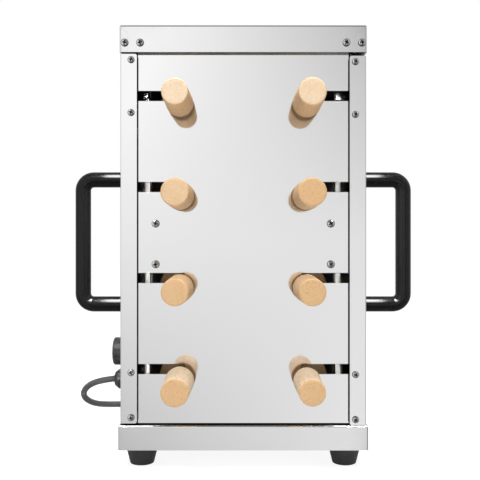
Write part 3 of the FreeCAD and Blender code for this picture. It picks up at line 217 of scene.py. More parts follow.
def tube_faces(rows, segments):
    """Quads between neighbouring rings of points, and a fan from the first and the last ring to the
    pole that closes each end. The rings are numbered first, then the two poles."""
    here = np.arange(segments)
    beyond = (here + 1) % segments
    base = np.arange(rows - 1)[:, None] * segments
    quads = np.stack([base + segments + here, base + segments + beyond, base + beyond, base + here], -1)
    top = (rows - 1) * segments
    first = np.stack([here, beyond, np.full(segments, rows * segments)], -1)
    last = np.stack([top + beyond, top + here, np.full(segments, rows * segments + 1)], -1)
    return quads.reshape(-1, 4), np.concatenate([first, last])


def make_piece(name, points, faces, material, body):
    """A smooth-shaded piece with its sharp edges marked, riding on its body."""
    mesh = bpy.data.meshes.new(name)
    mesh.from_pydata(points.tolist(), [], faces)
    mesh.polygons.foreach_set("use_smooth", np.ones(len(mesh.polygons), bool))
    mesh.set_sharp_from_angle(angle=math.radians(38.0))
    mesh.materials.append(material)
    piece = bpy.data.objects.new(name, mesh)
    scene.collection.objects.link(piece)
    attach(piece, body)
    return piece


def closed_tube(name, rings, poles, material, body):
    """Closed surface over rings of points (rows x points x 3) with a pole at each end."""
    quads, fans = tube_faces(*rings.shape[:2])
    points = np.concatenate([rings.reshape(-1, 3), poles])
    return make_piece(name, points, quads.tolist() + fans.tolist(), material, body)


def along_plug(start, along, sideways, upright):
    """Points so far along the plug from start, to its side and above it, in millimetres."""
    return start + (along[..., None] * last_way + sideways[..., None] * plug_side
                    + upright[..., None] * plug_up) / 1000.0


pin_nickel, tree, shader = finish_of("pin_nickel", (0.74, 0.72, 0.68), 1.0)
add_marks(tree, shader, 300.0, 0.14, 0.30)
plug_side = np.array([-last_way[1], last_way[0], 0.0])
plug_up = np.array([0.0, 0.0, 1.0])
# distance from the cord's end, half width, half thickness, squareness of the section
plug_stations = np.array([
    (0.0, 6.2, 6.2, 2.0), (0.4, 7.0, 7.0, 2.0), (2.6, 7.6, 7.6, 2.0), (3.2, 6.6, 6.6, 2.0),
    (5.0, 6.9, 6.9, 2.0), (5.6, 8.9, 8.6, 2.0), (7.8, 9.6, 9.2, 2.0), (8.4, 8.0, 7.8, 2.0),
    (10.2, 8.4, 8.1, 2.0), (10.8, 10.6, 10.2, 2.1), (13.0, 11.4, 11.0, 2.1), (13.6, 9.6, 9.3, 2.1),
    (15.4, 10.4, 10.0, 2.1), (17.5, 12.6, 12.0, 2.2), (19.6, 15.2, 13.8, 2.4), (21.4, 16.9, 14.8, 2.5),
    (24.0, 17.8, 15.2, 2.6), (30.0, 17.6, 15.0, 2.7), (38.0, 16.9, 14.6, 2.8), (46.0, 17.2, 14.8, 2.8),
    (53.0, 17.9, 15.2, 2.8), (54.6, 17.8, 15.1, 2.8), (55.6, 17.0, 14.3, 2.8), (56.0, 15.8, 13.1, 2.8),
])
along, wide, high, square = (plug_stations[:, [k]] for k in range(4))
turn = full_turn(56)[None, :]
share_side = np.sign(np.cos(turn)) * np.abs(np.cos(turn)) ** (2.0 / square)
share_up = np.sign(np.sin(turn)) * np.abs(np.sin(turn)) ** (2.0 / square)
rings = along_plug(cord_end, along, wide * share_side, high * share_up)
poles = np.stack([cord_end, cord_end + last_way * 0.056])
plug_pieces = [closed_tube("plug_body", rings, poles, cord_rubber, "casing")]
# distance from the cord's end, radius
pin_stations = np.array([(55.5, 2.4), (56.0, 2.4), (72.6, 2.4), (73.8, 2.1), (74.6, 1.4), (74.95, 0.6)])
along, radius = pin_stations[:, [0]], pin_stations[:, [1]]
turn = full_turn(24)[None, :]
for name, offset in (("plug_pin_a", -0.0095), ("plug_pin_b", 0.0095)):
    axis = cord_end + plug_side * offset
    rings = along_plug(axis, along, radius * np.cos(turn), radius * np.sin(turn))
    poles = np.stack([axis + last_way * 0.0555, axis + last_way * 0.075])
    plug_pieces.append(closed_tube(name, rings, poles, pin_nickel, "casing"))
for piece in plug_pieces:
    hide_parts("plug")


# Casing sheet: mirror-polished stainless steel for the front panel and the doors, folded from
# 1.2 to 1.5 mm sheet. It is nearly flat, with a faint long wave. Every face that looks into the
# chamber is painted nearly black: painted shade of the closed chamber, over a warm tint of heat.
chamber_shade_and_heat_tint, start, end = new_group(
    "chamber_shade_and_heat_tint",
    [("Vector", "Vector"), ("Colour", "Color"), ("Roughness", "Float")]
    + [(axis + edge, "Float") for axis in "XYZ" for edge in (" Start", " Full")],
    [("Colour", "Color"), ("Roughness", "Float")])
split = add_node(chamber_shade_and_heat_tint, "ShaderNodeSeparateXYZ")
either_side = add_node(chamber_shade_and_heat_tint, "ShaderNodeMath", operation="ABSOLUTE")
# Painted shade: every face inside the chamber is mixed towards this near-black warm tone.
darkened = add_node(chamber_shade_and_heat_tint, "ShaderNodeMix", {"B": (0.075, 0.069, 0.062, 1.0)}, data_type="RGBA")
dulled = add_node(chamber_shade_and_heat_tint, "ShaderNodeMix", {"B": 0.6})
add_links(chamber_shade_and_heat_tint,
          (start.outputs["Vector"], split.inputs["Vector"]),
          (split.outputs["X"], either_side.inputs[0]),
          (start.outputs["Colour"], darkened.inputs["A"]),
          (start.outputs["Roughness"], dulled.inputs["A"]),
          (darkened.outputs["Result"], end.inputs["Colour"]),
          (dulled.outputs["Result"], end.inputs["Roughness"]))
masks = []
for axis, reach in (("X", either_side.outputs["Value"]), ("Y", split.outputs["Y"]),
                    ("Z", split.outputs["Z"])):
    soft = add_node(chamber_shade_and_heat_tint, "ShaderNodeMapRange")
    add_links(chamber_shade_and_heat_tint,
              (reach, soft.inputs["Value"]),
              (start.outputs[axis + " Start"], soft.inputs["From Min"]),
              (start.outputs[axis + " Full"], soft.inputs["From Max"]))
    masks.append(soft.outputs["Result"])
for mask in masks[1:]:
    both = add_node(chamber_shade_and_heat_tint, "ShaderNodeMath", operation="MULTIPLY")
    add_links(chamber_shade_and_heat_tint, (masks[0], both.inputs[0]), (mask, both.inputs[1]))
    masks[0] = both.outputs["Value"]
for target in (darkened, dulled):
    chamber_shade_and_heat_tint.links.new(masks[0], target.inputs["Factor"])

every_place = {"X": (10.0, 9.0), "Y": (-10.0, -9.0), "Z": (-10.0, -9.0)}


def add_shade_and_heat_tint(tree, shader, place, colour, limits):
    """The sheet's colour and roughness, darkened and dulled past all limits: painted shade of the
    closed chamber over a warm heat tint. A limit is the distance along its axis where the darkening
    starts and the one where it is full; X counts on either side."""
    values = {"Colour": (*colour, 1.0)}
    for axis, (begin, full) in {**every_place, **limits}.items():
        values[axis + " Start"], values[axis + " Full"] = begin, full
    shade_and_tint = use_group(tree, chamber_shade_and_heat_tint, place, values)
    tree.links.new(shader.inputs["Roughness"].links[0].from_socket, shade_and_tint.inputs["Roughness"])
    tree.links.new(shade_and_tint.outputs["Colour"], shader.inputs["Base Color"])
    tree.links.new(shade_and_tint.outputs["Roughness"], shader.inputs["Roughness"])


def dress(material, *names):
    """CAD nodes keep their shape and take the material."""
    for name in names:
        nodes[name].data.materials.clear()
        nodes[name].data.materials.append(material)


mirror_steel = (0.87, 0.87, 0.87)
# The limits bound the faces inside the chamber, which take the painted shade.
for name, names, limits in (
        ("panel_sheet", ["front_panel"], {"Y": (-0.1315, -0.1312)}),
        ("door_sheet", ["left_door", "right_door"], {"X": (0.1561, 0.1558), "Y": (-0.1395, -0.1391)})):
    polished, tree, shader = finish_of(name, metallic=1.0)
    place = add_marks(tree, shader, 9.0, 0.035, 0.075)
    add_grain(tree, shader, place, (5.0, 5.0, 7.0), 0.0015, 0.12)
    add_shade_and_heat_tint(tree, shader, place, mirror_steel, limits)
    dress(polished, *names)


# Satin sheet of base, cap, side panels, rear cover and control box, with fine horizontal lines. The
# top of the base is the chamber floor, darkened between the doors up to its front fold as painted shade.
satin_steel = (0.86, 0.86, 0.86)
for name, names, limits in (
        ("satin_sheet", ["top_cap", "service_side_panels", "rear_cover", "control_box"], None),
        # These limits bound the chamber floor and the rear of the ledge, which take the painted shade.
        ("base_sheet", ["base_pan"],
         {"X": (0.1562, 0.1555), "Y": (-0.1392, -0.1382), "Z": (0.0560, 0.0563)})):
    satin, tree, shader = finish_of(name, satin_steel, 1.0)
    place = add_marks(tree, shader, 14.0, 0.08, 0.13)
    add_grain(tree, shader, place, (12.0, 12.0, 2600.0), 0.0001, 0.05)
    if limits:
        add_shade_and_heat_tint(tree, shader, place, satin_steel, limits)
    dress(satin, *names)


# Bearing plate and crumb tray: the same steel left plain, browned a little by heat.
def add_stain(tree, shader, place, scale, pale, dark):
    """Colour that changes slowly over the surface between pale and dark."""
    stain = use_group(tree, handling_marks, place, {"Scale": scale, "Low": 0.0, "High": 1.0})
    tint = add_node(tree, "ShaderNodeMix", {"A": (*pale, 1.0), "B": (*dark, 1.0)}, data_type="RGBA")
    add_links(tree, (stain.outputs["Value"], tint.inputs["Factor"]),
              (tint.outputs["Result"], shader.inputs["Base Color"]))


inner_sheet, tree, shader = finish_of("inner_sheet", metallic=1.0)
place = add_marks(tree, shader, 11.0, 0.24, 0.42)
add_stain(tree, shader, place, 6.0, (0.64, 0.62, 0.59), (0.52, 0.45, 0.36))
dress(inner_sheet, "bearing_plate", "crumb_tray")


# Ceiling and rear wall of the chamber: the same sheet, dark brown, partly heat tint over the heating elements
# and partly painted shade of the closed chamber.
baked_and_shaded_sheet, tree, shader = finish_of("baked_and_shaded_sheet", metallic=1.0)
place = add_marks(tree, shader, 11.0, 0.28, 0.46)
add_stain(tree, shader, place, 7.0, (0.23, 0.21, 0.19), (0.14, 0.115, 0.09))
dress(baked_and_shaded_sheet, "ceiling_tray", "chamber_rear_wall")


# Bright turned steel: shafts, spindles with their chain wheels, door pins and the drive chain.
turned_steel, tree, shader = finish_of("turned_steel", (0.66, 0.66, 0.67), 1.0)
place = add_marks(tree, shader, 40.0, 0.16, 0.30)
add_grain(tree, shader, place, (700.0, 60.0, 700.0), 0.0001, 0.1)
labels = [side + row for side in "LR" for row in "1234"]
dress(turned_steel, "motor_sprocket", "drive_chain", "left_door_pins", "right_door_pins",
      *["roller_%s_shaft" % label for label in labels], *["spindle_" + label for label in labels])


# Screws: bright pan heads with a cross recess, driven into the sheet. Painted shade darkens the
# recesses and the rim round the foot of each head.
screw_steel, tree, shader = finish_of("screw_steel", metallic=1.0)
# This attribute is painted shade: dark in each cross recess and round the rim of the head.
screw_shade = add_node(tree, "ShaderNodeAttribute", attribute_name="screw_shade")
screw_tone = add_node(tree, "ShaderNodeMix", {"A": (0.80, 0.80, 0.81, 1.0), "B": (0.035, 0.033, 0.032, 1.0)},
                      data_type="RGBA")
screw_gloss = add_node(tree, "ShaderNodeMapRange", {"To Min": 0.12, "To Max": 0.6})
add_links(tree,
          (screw_shade.outputs["Fac"], screw_tone.inputs["Factor"]),
          (screw_tone.outputs["Result"], shader.inputs["Base Color"]),
          (screw_shade.outputs["Fac"], screw_gloss.inputs["Value"]),
          (screw_gloss.outputs["Result"], shader.inputs["Roughness"]))
screw_turns = np.random.default_rng(31)
crown_height, crown_fall, recess_depth = 2.5, 1.25, 1.1
recess_half_width, recess_reach = 0.17, 0.60


def pan_screws(name, body, replaced, places):
    """One object of screws. Each is a closed surface of revolution about its outward way: shank
    point, shank, foot of the head, steep rim, shallow crown. The crown sinks where the distance
    from either arm of a cross is less than the arm's half width. Places hold the foot's middle,
    the outward way, head radius, shank radius and the shank's reach."""
    segments = 64
    crown = np.concatenate([[0.985, 0.95, 0.90], np.linspace(0.84, 0.07, 12)])
    below_crown = 6
    turn = full_turn(segments)
    all_points, all_screw_shade = [], []
    for foot, outward, head_radius, shank_radius, reach in places:
        foot, outward = np.array(foot), np.array(outward, float)
        side = np.cross(outward, (0.0, 0.0, 1.0))
        up = np.cross(outward, side)
        station = np.concatenate([[-reach, -reach + 0.5, 0.0, 0.0, 0.25, 0.9],
                                  crown_height - crown_fall * crown ** 2.6])
        radius = np.concatenate([[shank_radius - 0.5, shank_radius, shank_radius, head_radius - 0.2,
                                  head_radius, head_radius * 0.998], head_radius * crown])
        # Painted shade on the rim and the outer edge of the crown.
        head_shade = np.concatenate([[0.3, 0.3, 0.5, 1.0, 1.0, 1.0],
                               np.clip((crown - 0.80) / 0.14, 0.0, 1.0) ** 1.5])
        lean = screw_turns.uniform(0.0, math.pi)
        u = radius[:, None] * np.cos(turn + lean)[None] / head_radius
        v = radius[:, None] * np.sin(turn + lean)[None] / head_radius
        arms = [np.clip((recess_half_width - np.abs(b)) / 0.06, 0.0, 1.0)
                * np.clip((recess_reach - np.abs(a)) / 0.12, 0.0, 1.0) for a, b in ((u, v), (v, u))]
        sunk = np.maximum(*arms) * (np.arange(len(station)) >= below_crown)[:, None]
        height = station[:, None] - recess_depth * sunk
        ring = np.cos(turn)[None, :, None] * side + np.sin(turn)[None, :, None] * up
        rings = foot + (height[..., None] * outward + radius[:, None, None] * ring) / 1000.0
        poles = np.stack([foot - outward * reach / 1000.0, foot + outward * 1.4 / 1000.0])
        all_points.append(np.concatenate([rings.reshape(-1, 3), poles]))
        all_screw_shade.append(np.concatenate([np.maximum(head_shade[:, None], sunk ** 0.7).ravel(), [0.3, 1.0]]))
    quads, fans = tube_faces(below_crown + len(crown), segments)
    faces = []
    for screw in range(len(all_points)):
        first_point = screw * len(all_points[0])
        faces += (quads + first_point).tolist() + (fans + first_point).tolist()
    screws = make_piece(name, np.concatenate(all_points), faces, screw_steel, body)
    attribute = screws.data.attributes.new("screw_shade", "FLOAT", "POINT")
    attribute.data.foreach_set("value", np.concatenate(all_screw_shade).astype(np.float32))
    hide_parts(replaced)


panel_front, casing_back, cap_screw_level = -0.132, 0.220, 0.5434
door_inner, door_outer, handle_y, leg_levels = 0.1550, 0.1562, -0.111, (0.2090, 0.3714)
front, back, left = (0, -1, 0), (0, 1, 0), (-1, 0, 0)
casing_places = [((s * x, casing_front, cap_screw_level), front, 4.9, 2.0, 5.0)
                 for s in (-1, 1) for x in (0.1311, 0.1507)]
casing_places += [((s * 0.1311, casing_back, cap_screw_level), back, 4.5, 2.0, 5.0) for s in (-1, 1)]
casing_places += [((s * 0.1492, casing_back, z), back, 4.5, 2.0, 5.0) for s in (-1, 1)
                  for z in (0.0638, 0.2172, 0.3706, 0.5240)]
casing_places += [((s * 0.1122, panel_front, z), front, 5.1, 2.0, 8.0)
                  for s in (-1, 1) for z in (0.2616, 0.3137)]
casing_places += [((-0.1576, y, 0.2210), left, 4.5, 2.0, 5.0) for y in (0.118, 0.142)]
pan_screws("casing_screw_heads", "casing", "casing_screws", casing_places)
for word, s, low in (("left", -1, 0.0597), ("right", 1, 0.0573)):
    door_places = [((s * 0.1426, casing_front, low + up), front, 4.4, 2.0, 5.0)
                   for up in (0.0073, 0.0645, 0.3949, 0.4620)]
    door_places += [((s * door_inner, handle_y, z), (-s, 0, 0), 5.0, 2.5, 16.7) for z in leg_levels]
    pan_screws(word + "_door_screw_heads", word + "_door", word + "_door_screws", door_places)


# Sintered bronze bushes: warm matt metal.
bronze, tree, shader = finish_of("sintered_bronze", (0.62, 0.43, 0.22), 1.0)
place = add_marks(tree, shader, 90.0, 0.34, 0.52)
add_grain(tree, shader, place, (2500.0, 2500.0, 2500.0), 0.0001, 0.2)
dress(bronze, "bearings_and_bushes")


# Heating elements: sheathed hairpins, dark oxide with a grey bloom.
heater_sheath, tree, shader = finish_of("heater_sheath", metallic=0.6)
place = add_marks(tree, shader, 30.0, 0.42, 0.62)
add_stain(tree, shader, place, 45.0, (0.07, 0.064, 0.06), (0.19, 0.17, 0.16))
dress(heater_sheath, "heating_elements")


# Insulation board of pressed mineral fibre between the hot wall and the drive.
fibre_board, tree, shader = finish_of("fibre_board", (0.74, 0.70, 0.58))
place = add_marks(tree, shader, 25.0, 0.88, 1.0)
add_grain(tree, shader, place, (500.0, 1500.0, 180.0), 0.0006, 0.5)
dress(fibre_board, "insulation_board")


# Gear motor: die-cast housing with a slightly grainy skin.
cast_alloy, tree, shader = finish_of("cast_alloy", (0.56, 0.56, 0.57), 1.0)
place = add_marks(tree, shader, 35.0, 0.38, 0.55)
add_grain(tree, shader, place, (1100.0, 1100.0, 1100.0), 0.0002, 0.25)
dress(cast_alloy, "gear_motor")


# Moulded black parts: knob, thermostat, switch housing, gland and door catches.
moulded_black, tree, shader = finish_of("moulded_black", (0.038, 0.038, 0.040))
place = add_marks(tree, shader, 70.0, 0.30, 0.46)
add_grain(tree, shader, place, (1800.0, 1800.0, 1800.0), 0.0001, 0.2)
dress(moulded_black, "thermostat_knob", "thermostat", "rocker_housing", "cable_gland", "door_catches")


# Switch rocker in red and the amber lens of the pilot lamp.
rocker_red, tree, shader = finish_of("rocker_red", (0.46, 0.025, 0.018))
add_marks(tree, shader, 80.0, 0.2, 0.32)
dress(rocker_red, "rocker")
lamp_amber, tree, shader = finish_of("lamp_amber", (0.80, 0.34, 0.05))
add_marks(tree, shader, 80.0, 0.12, 0.2)
shader.inputs["Coat Weight"].default_value = 0.6
dress(lamp_amber, "pilot_lamp")


# Rollers: a turned beech grip in front of the panel and a tapered baking roll behind it, both glued
# on one steel shaft. Oiled pale wood, its fibres run along the shaft, each piece from another plank.
beech, tree, shader = finish_of("turned_beech")
shader.inputs["Specular IOR Level"].default_value = 0.35
fibre = add_node(tree, "ShaderNodeAttribute", attribute_name="plank")
# Painted light and shade: a tone per point that browns or pales the wood by how each grip is lit.
light_and_shade = add_node(tree, "ShaderNodeAttribute", attribute_name="light_and_shade")
year_rings = add_node(tree, "ShaderNodeTexWave",
                      {"Scale": 95.0, "Distortion": 9.0, "Detail": 4.0, "Detail Scale": 1.6},
                      wave_type="RINGS", rings_direction="Z", wave_profile="SAW")
streak_place = add_node(tree, "ShaderNodeMapping", {"Scale": (900.0, 900.0, 26.0)})
streaks = add_node(tree, "ShaderNodeTexNoise", {"Scale": 1.0, "Detail": 3.0})
fleck_place = add_node(tree, "ShaderNodeMapping", {"Scale": (900.0, 620.0, 70.0)})
flecks = add_node(tree, "ShaderNodeTexNoise", {"Scale": 1.0, "Detail": 1.0})
fleck_mask = add_node(tree, "ShaderNodeMapRange", {"From Min": 0.56, "From Max": 0.70, "To Max": 0.55})
cloud = add_node(tree, "ShaderNodeTexNoise", {"Scale": 70.0, "Detail": 4.0})
year_tone = add_node(tree, "ShaderNodeMix", {"A": (0.88, 0.715, 0.53, 1.0), "B": (0.84, 0.66, 0.47, 1.0)},
                     data_type="RGBA")
fibre_tone = add_node(tree, "ShaderNodeMix", {"B": (0.90, 0.85, 0.78, 1.0)},
                      data_type="RGBA", blend_type="MULTIPLY")
fleck_tone = add_node(tree, "ShaderNodeMix", {"B": (0.55, 0.36, 0.20, 1.0)}, data_type="RGBA")
cloud_and_shade_tone = add_node(tree, "ShaderNodeMix", {"B": (0.85, 0.70, 0.52, 1.0)},
                      data_type="RGBA", blend_type="MULTIPLY")
# Random cloud plus the painted light and shade set how far the wood is browned.
cloud_and_shade = add_node(tree, "ShaderNodeMath", {1: 0.7}, operation="MULTIPLY_ADD", use_clamp=True)
wood_relief = add_node(tree, "ShaderNodeBump", {"Distance": 0.0003, "Strength": 0.25})
wood_shine = add_node(tree, "ShaderNodeMapRange", {"To Min": 0.42, "To Max": 0.60})
add_links(tree,
          (fibre.outputs["Vector"], year_rings.inputs["Vector"]),
          (fibre.outputs["Vector"], streak_place.inputs["Vector"]),
          (fibre.outputs["Vector"], fleck_place.inputs["Vector"]),
          (fibre.outputs["Vector"], cloud.inputs["Vector"]),
          (streak_place.outputs["Vector"], streaks.inputs["Vector"]),
          (fleck_place.outputs["Vector"], flecks.inputs["Vector"]),
          (flecks.outputs["Fac"], fleck_mask.inputs["Value"]),
          (year_rings.outputs["Fac"], year_tone.inputs["Factor"]),
          (year_tone.outputs["Result"], fibre_tone.inputs["A"]),
          (streaks.outputs["Fac"], fibre_tone.inputs["Factor"]),
          (fibre_tone.outputs["Result"], fleck_tone.inputs["A"]),
          (fleck_mask.outputs["Result"], fleck_tone.inputs["Factor"]),
          (fleck_tone.outputs["Result"], cloud_and_shade_tone.inputs["A"]),
          (cloud.outputs["Fac"], cloud_and_shade.inputs[0]),
          (light_and_shade.outputs["Fac"], cloud_and_shade.inputs[2]),
          (cloud_and_shade.outputs["Value"], cloud_and_shade_tone.inputs["Factor"]),
          (cloud_and_shade_tone.outputs["Result"], shader.inputs["Base Color"]),
          (streaks.outputs["Fac"], wood_relief.inputs["Height"]),
          (wood_relief.outputs["Normal"], shader.inputs["Normal"]),
          (streaks.outputs["Fac"], wood_shine.inputs["Value"]),
          (wood_shine.outputs["Result"], shader.inputs["Roughness"]))


def closed_lathe(name, stations, radii, centre, axis, material, body, segments=96):
    """Surface of revolution: the profile (distance along the axis, radius) swept round a full turn,
    closed at both ends by a point on the axis."""
    axis = np.array(axis, float)
    side = np.cross(axis, (0.0, 0.0, 1.0) if abs(axis[2]) < 0.9 else (1.0, 0.0, 0.0))
    side /= np.linalg.norm(side)
    turn = full_turn(segments)
    ring = np.cos(turn)[:, None] * side + np.sin(turn)[:, None] * np.cross(axis, side)
    rings = np.array(centre) + stations[1:-1, None, None] * axis + radii[1:-1, None, None] * ring[None]
    poles = np.array(centre) + stations[[0, -1], None] * axis
    return closed_tube(name, rings, poles, material, body)


def rounded_profile(length, radius0, radius1, rounding, steps=6):
    """Profile of a turned bar with its two rims rounded by quarter circles: stations and radii."""
    arc = np.linspace(0.0, math.pi / 2.0, steps)
    start = np.stack([rounding * (1.0 - np.cos(arc)), radius0 - rounding * (1.0 - np.sin(arc))], 1)
    end = np.stack([length - rounding * (1.0 - np.sin(arc)), radius1 - rounding * (1.0 - np.cos(arc))], 1)
    middle = np.linspace(start[-1], end[0], 8)[1:-1]
    flat0 = np.linspace((0.0, 0.0), start[0], 5)[:-1]
    flat1 = np.linspace(end[-1], (length, 0.0), 5)[1:]
    profile = np.concatenate([flat0, start, middle, end, flat1])
    return profile[:, 0], profile[:, 1]


plank_seed = np.random.default_rng(8)
rim_width, rim_depth, rim_shade = 0.0032, 0.0016, 0.9


def cut_from_plank(piece, centre, length, end_light_and_shade, side_light_and_shade):
    """Store where each point lay in its plank: turned about the bar and moved off the pith. Store
    a tone of painted light and shade too: end faces and long faces each by their own measure, and
    both rims darker still, as painted shade on the rounded edges."""
    turn = plank_seed.uniform(0.0, 2.0 * math.pi)
    pith, along = plank_seed.uniform(0.004, 0.045), plank_seed.uniform(0.0, 2.0)
    points = np.empty(3 * len(piece.data.vertices), np.float32)
    piece.data.vertices.foreach_get("co", points)
    local = points.reshape(-1, 3) - np.array(centre)
    across = local[:, 0] * math.cos(turn) + local[:, 2] * math.sin(turn) + pith
    tangent = local[:, 2] * math.cos(turn) - local[:, 0] * math.sin(turn)
    plank = np.stack([across + 0.04 * local[:, 1], tangent, local[:, 1] + along], 1)
    attribute = piece.data.attributes.new("plank", "FLOAT_VECTOR", "POINT")
    attribute.data.foreach_set("vector", plank.astype(np.float32).ravel())
    from_axis = np.hypot(local[:, 0], local[:, 2])
    from_end = np.minimum(local[:, 1], length - local[:, 1])
    outermost = np.clip((from_axis - from_axis.max() + rim_width) / 0.001, 0.0, 1.0)
    rim = np.clip(1.0 - from_end / rim_depth, 0.0, 1.0) * outermost
    long_face = np.clip((from_end - 0.0006) / 0.0012, 0.0, 1.0)
    light_and_shade_tone = end_light_and_shade + (side_light_and_shade - end_light_and_shade) * long_face + rim_shade * rim
    attribute = piece.data.attributes.new("light_and_shade", "FLOAT", "POINT")
    attribute.data.foreach_set("value", (light_and_shade_tone - 0.35).astype(np.float32))


grip_front, grip_length, grip_radii = -0.2225, 0.076, (0.01615, 0.0177)
roll_front, roll_length, roll_radii = -0.115, 0.198, (0.029, 0.026)
wood_rounding = 0.0022
column_x = 0.080
row_heights = (0.4651, 0.3485, 0.2319, 0.1153)
# painted light and shade on the grip's end, on its long face, thickness against the drawing
grip_of = {"L1": (-0.1, 1.0, 0.97), "L2": (0.6, 1.0, 1.02), "L3": (0.95, 1.0, 1.0), "L4": (1.0, 0.1, 1.03),
           "R1": (0.1, 1.0, 1.02), "R2": (1.1, 1.0, 1.03), "R3": (1.1, 1.0, 1.0), "R4": (2.2, 0.1, 0.97)}
for side, x in (("L", -column_x), ("R", column_x)):
    for number, z in enumerate(row_heights, start=1):
        label = "%s%d" % (side, number)
        end_light_and_shade, side_light_and_shade, share = grip_of[label]
        for name, front_y, length, radii, light_and_shade_pair in (
                ("grip_", grip_front, grip_length, [share * r for r in grip_radii], (end_light_and_shade, side_light_and_shade)),
                ("roll_", roll_front, roll_length, roll_radii, (0.8, 0.8))):
            outline = rounded_profile(length, *radii, wood_rounding)
            piece = closed_lathe(name + label, *outline, (x, front_y, z), (0, 1, 0), beech, "roller_" + label)
            cut_from_plank(piece, (x, front_y, z), length, *light_and_shade_pair)
            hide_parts("roller_%s_wood" % label)


# Door seals: pale glass-fibre tape glued on the front of each door's rear flange, full height.
# It is the light strip that shows deep inside the slots.
seal_tape, tree, shader = finish_of("seal_tape", (0.80, 0.79, 0.76))
place = add_marks(tree, shader, 60.0, 0.78, 0.95)
add_grain(tree, shader, place, (900.0, 900.0, 500.0), 0.0003, 0.35)
tape_thickness, tape_inner, tape_outer, tape_height = 0.0009, 0.1466, 0.1548, 0.4666
flange_front = 0.0868
for word, side, low in (("left", -1.0, 0.0612), ("right", 1.0, 0.0588)):
    across = np.linspace(0.0, 1.0, 13)
    crown = flange_front - 0.00005 - tape_thickness * (1.0 - np.abs(2.0 * across - 1.0) ** 6)
    ring_x = side * np.concatenate([tape_inner + (tape_outer - tape_inner) * across,
                                    [tape_outer, tape_inner]])
    ring_y = np.concatenate([crown, [flange_front - 0.00002, flange_front - 0.00002]])
    heights = np.linspace(low, low + tape_height, 60)
    section = np.column_stack([ring_x, ring_y, np.zeros(len(ring_x))])
    rings = section[None] + heights[:, None, None] * np.array([0.0, 0.0, 1.0])
    rings = rings if side > 0.0 else rings[:, ::-1]
    seal = closed_tube(word + "_door_seal", rings, rings[[0, -1]].mean(axis=1), seal_tape, word + "_door")


# U handles: 20 mm steel tube bent twice, stove-enamelled glossy black, on a washer at each leg.
enamel, tree, shader = finish_of("black_enamel", (0.004, 0.004, 0.0043))
shader.inputs["Specular IOR Level"].default_value = 0.25
place = add_marks(tree, shader, 40.0, 0.12, 0.19)
add_grain(tree, shader, place, (160.0, 160.0, 160.0), 0.0004, 0.06)
tube_radius = 0.010
bend_radius = 0.014
leg_root, leg_straight, grip_line = 0.1577, 0.012, 0.2094
leg_low, leg_high = leg_levels


def handle_rings(side):
    """A circle carried along leg, quarter bend, grip, quarter bend and leg. The path lies in one
    upright plane, so each ring stands on the path's normal and on the Y axis."""
    bend = np.linspace(0.0, math.pi / 2.0, 13)
    corner = grip_line - bend_radius
    lower = np.stack([corner + bend_radius * np.sin(bend), leg_low + bend_radius * (1.0 - np.cos(bend))], 1)
    upper = np.stack([corner + bend_radius * np.cos(bend), leg_high - bend_radius * (1.0 - np.sin(bend))], 1)
    straight = np.linspace(lower[-1], upper[0], 8)[1:-1]
    leg_start = np.array([(leg_root, leg_low), (leg_root + leg_straight, leg_low)])
    leg_end = np.array([(leg_root + leg_straight, leg_high), (leg_root, leg_high)])
    path = np.concatenate([leg_start, lower, straight, upper, leg_end])
    way = np.gradient(path, axis=0)
    way /= np.linalg.norm(way, axis=1)[:, None]
    way[0], way[-1] = (1.0, 0.0), (-1.0, 0.0)
    normal = np.stack([way[:, 1], -way[:, 0]], 1)
    turn = full_turn(40)
    out = path[:, None, :] + tube_radius * np.cos(turn)[None, :, None] * normal[:, None, :]
    depth = np.broadcast_to(handle_y + tube_radius * np.sin(turn), out.shape[:2])
    rings = np.stack([side * out[:, :, 0], depth, out[:, :, 1]], -1)
    return rings if side > 0.0 else rings[:, ::-1]


washer_outline = rounded_profile(0.0015, 0.013, 0.013, 0.0005)
for word, side in (("left", -1.0), ("right", 1.0)):
    rings = handle_rings(side)
    pieces = [closed_tube(word + "_handle_tube", rings, rings[[0, -1]].mean(axis=1), enamel, word + "_door")]
    for level, name in ((leg_low, "low"), (leg_high, "high")):
        pieces.append(closed_lathe("%s_washer_%s" % (word, name), *washer_outline,
                                   (side * door_outer, handle_y, level), (side, 0, 0), enamel,
                                   word + "_door", segments=48))
    for piece in pieces:
        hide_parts(word + "_handle")


# Feet: tapered black rubber, narrower at the floor, with a moulded rim and a softly rounded sole.
foot_rubber, tree, shader = finish_of("foot_rubber", (0.046, 0.046, 0.047))
place = add_marks(tree, shader, 55.0, 0.55, 0.75)
add_grain(tree, shader, place, (700.0, 700.0, 700.0), 0.0003, 0.2)
sole = np.linspace(0.0, math.pi / 2.0, 6)
foot_profile = np.concatenate([
    [(0.0035, 0.0), (0.0035, 0.0045), (0.0005, 0.0055), (0.0, 0.0062)],
    np.stack([0.0016 * (1.0 - np.cos(sole)), 0.0142 + 0.0016 * np.sin(sole)], 1),
    [(0.0215, 0.0209), (0.0222, 0.0213), (0.0249, 0.0216), (0.0254, 0.0211), (0.0254, 0.0)],
])
for name, x, y in (("left_front", -0.133, -0.105), ("left_back", -0.133, 0.185),
                   ("right_front", 0.133, -0.105), ("right_back", 0.133, 0.185)):
    foot = closed_lathe("foot_" + name, *foot_profile.T, (x, y, 0.0), (0, 0, 1), foot_rubber, "casing",
                        segments=64)
    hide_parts("rubber_feet")


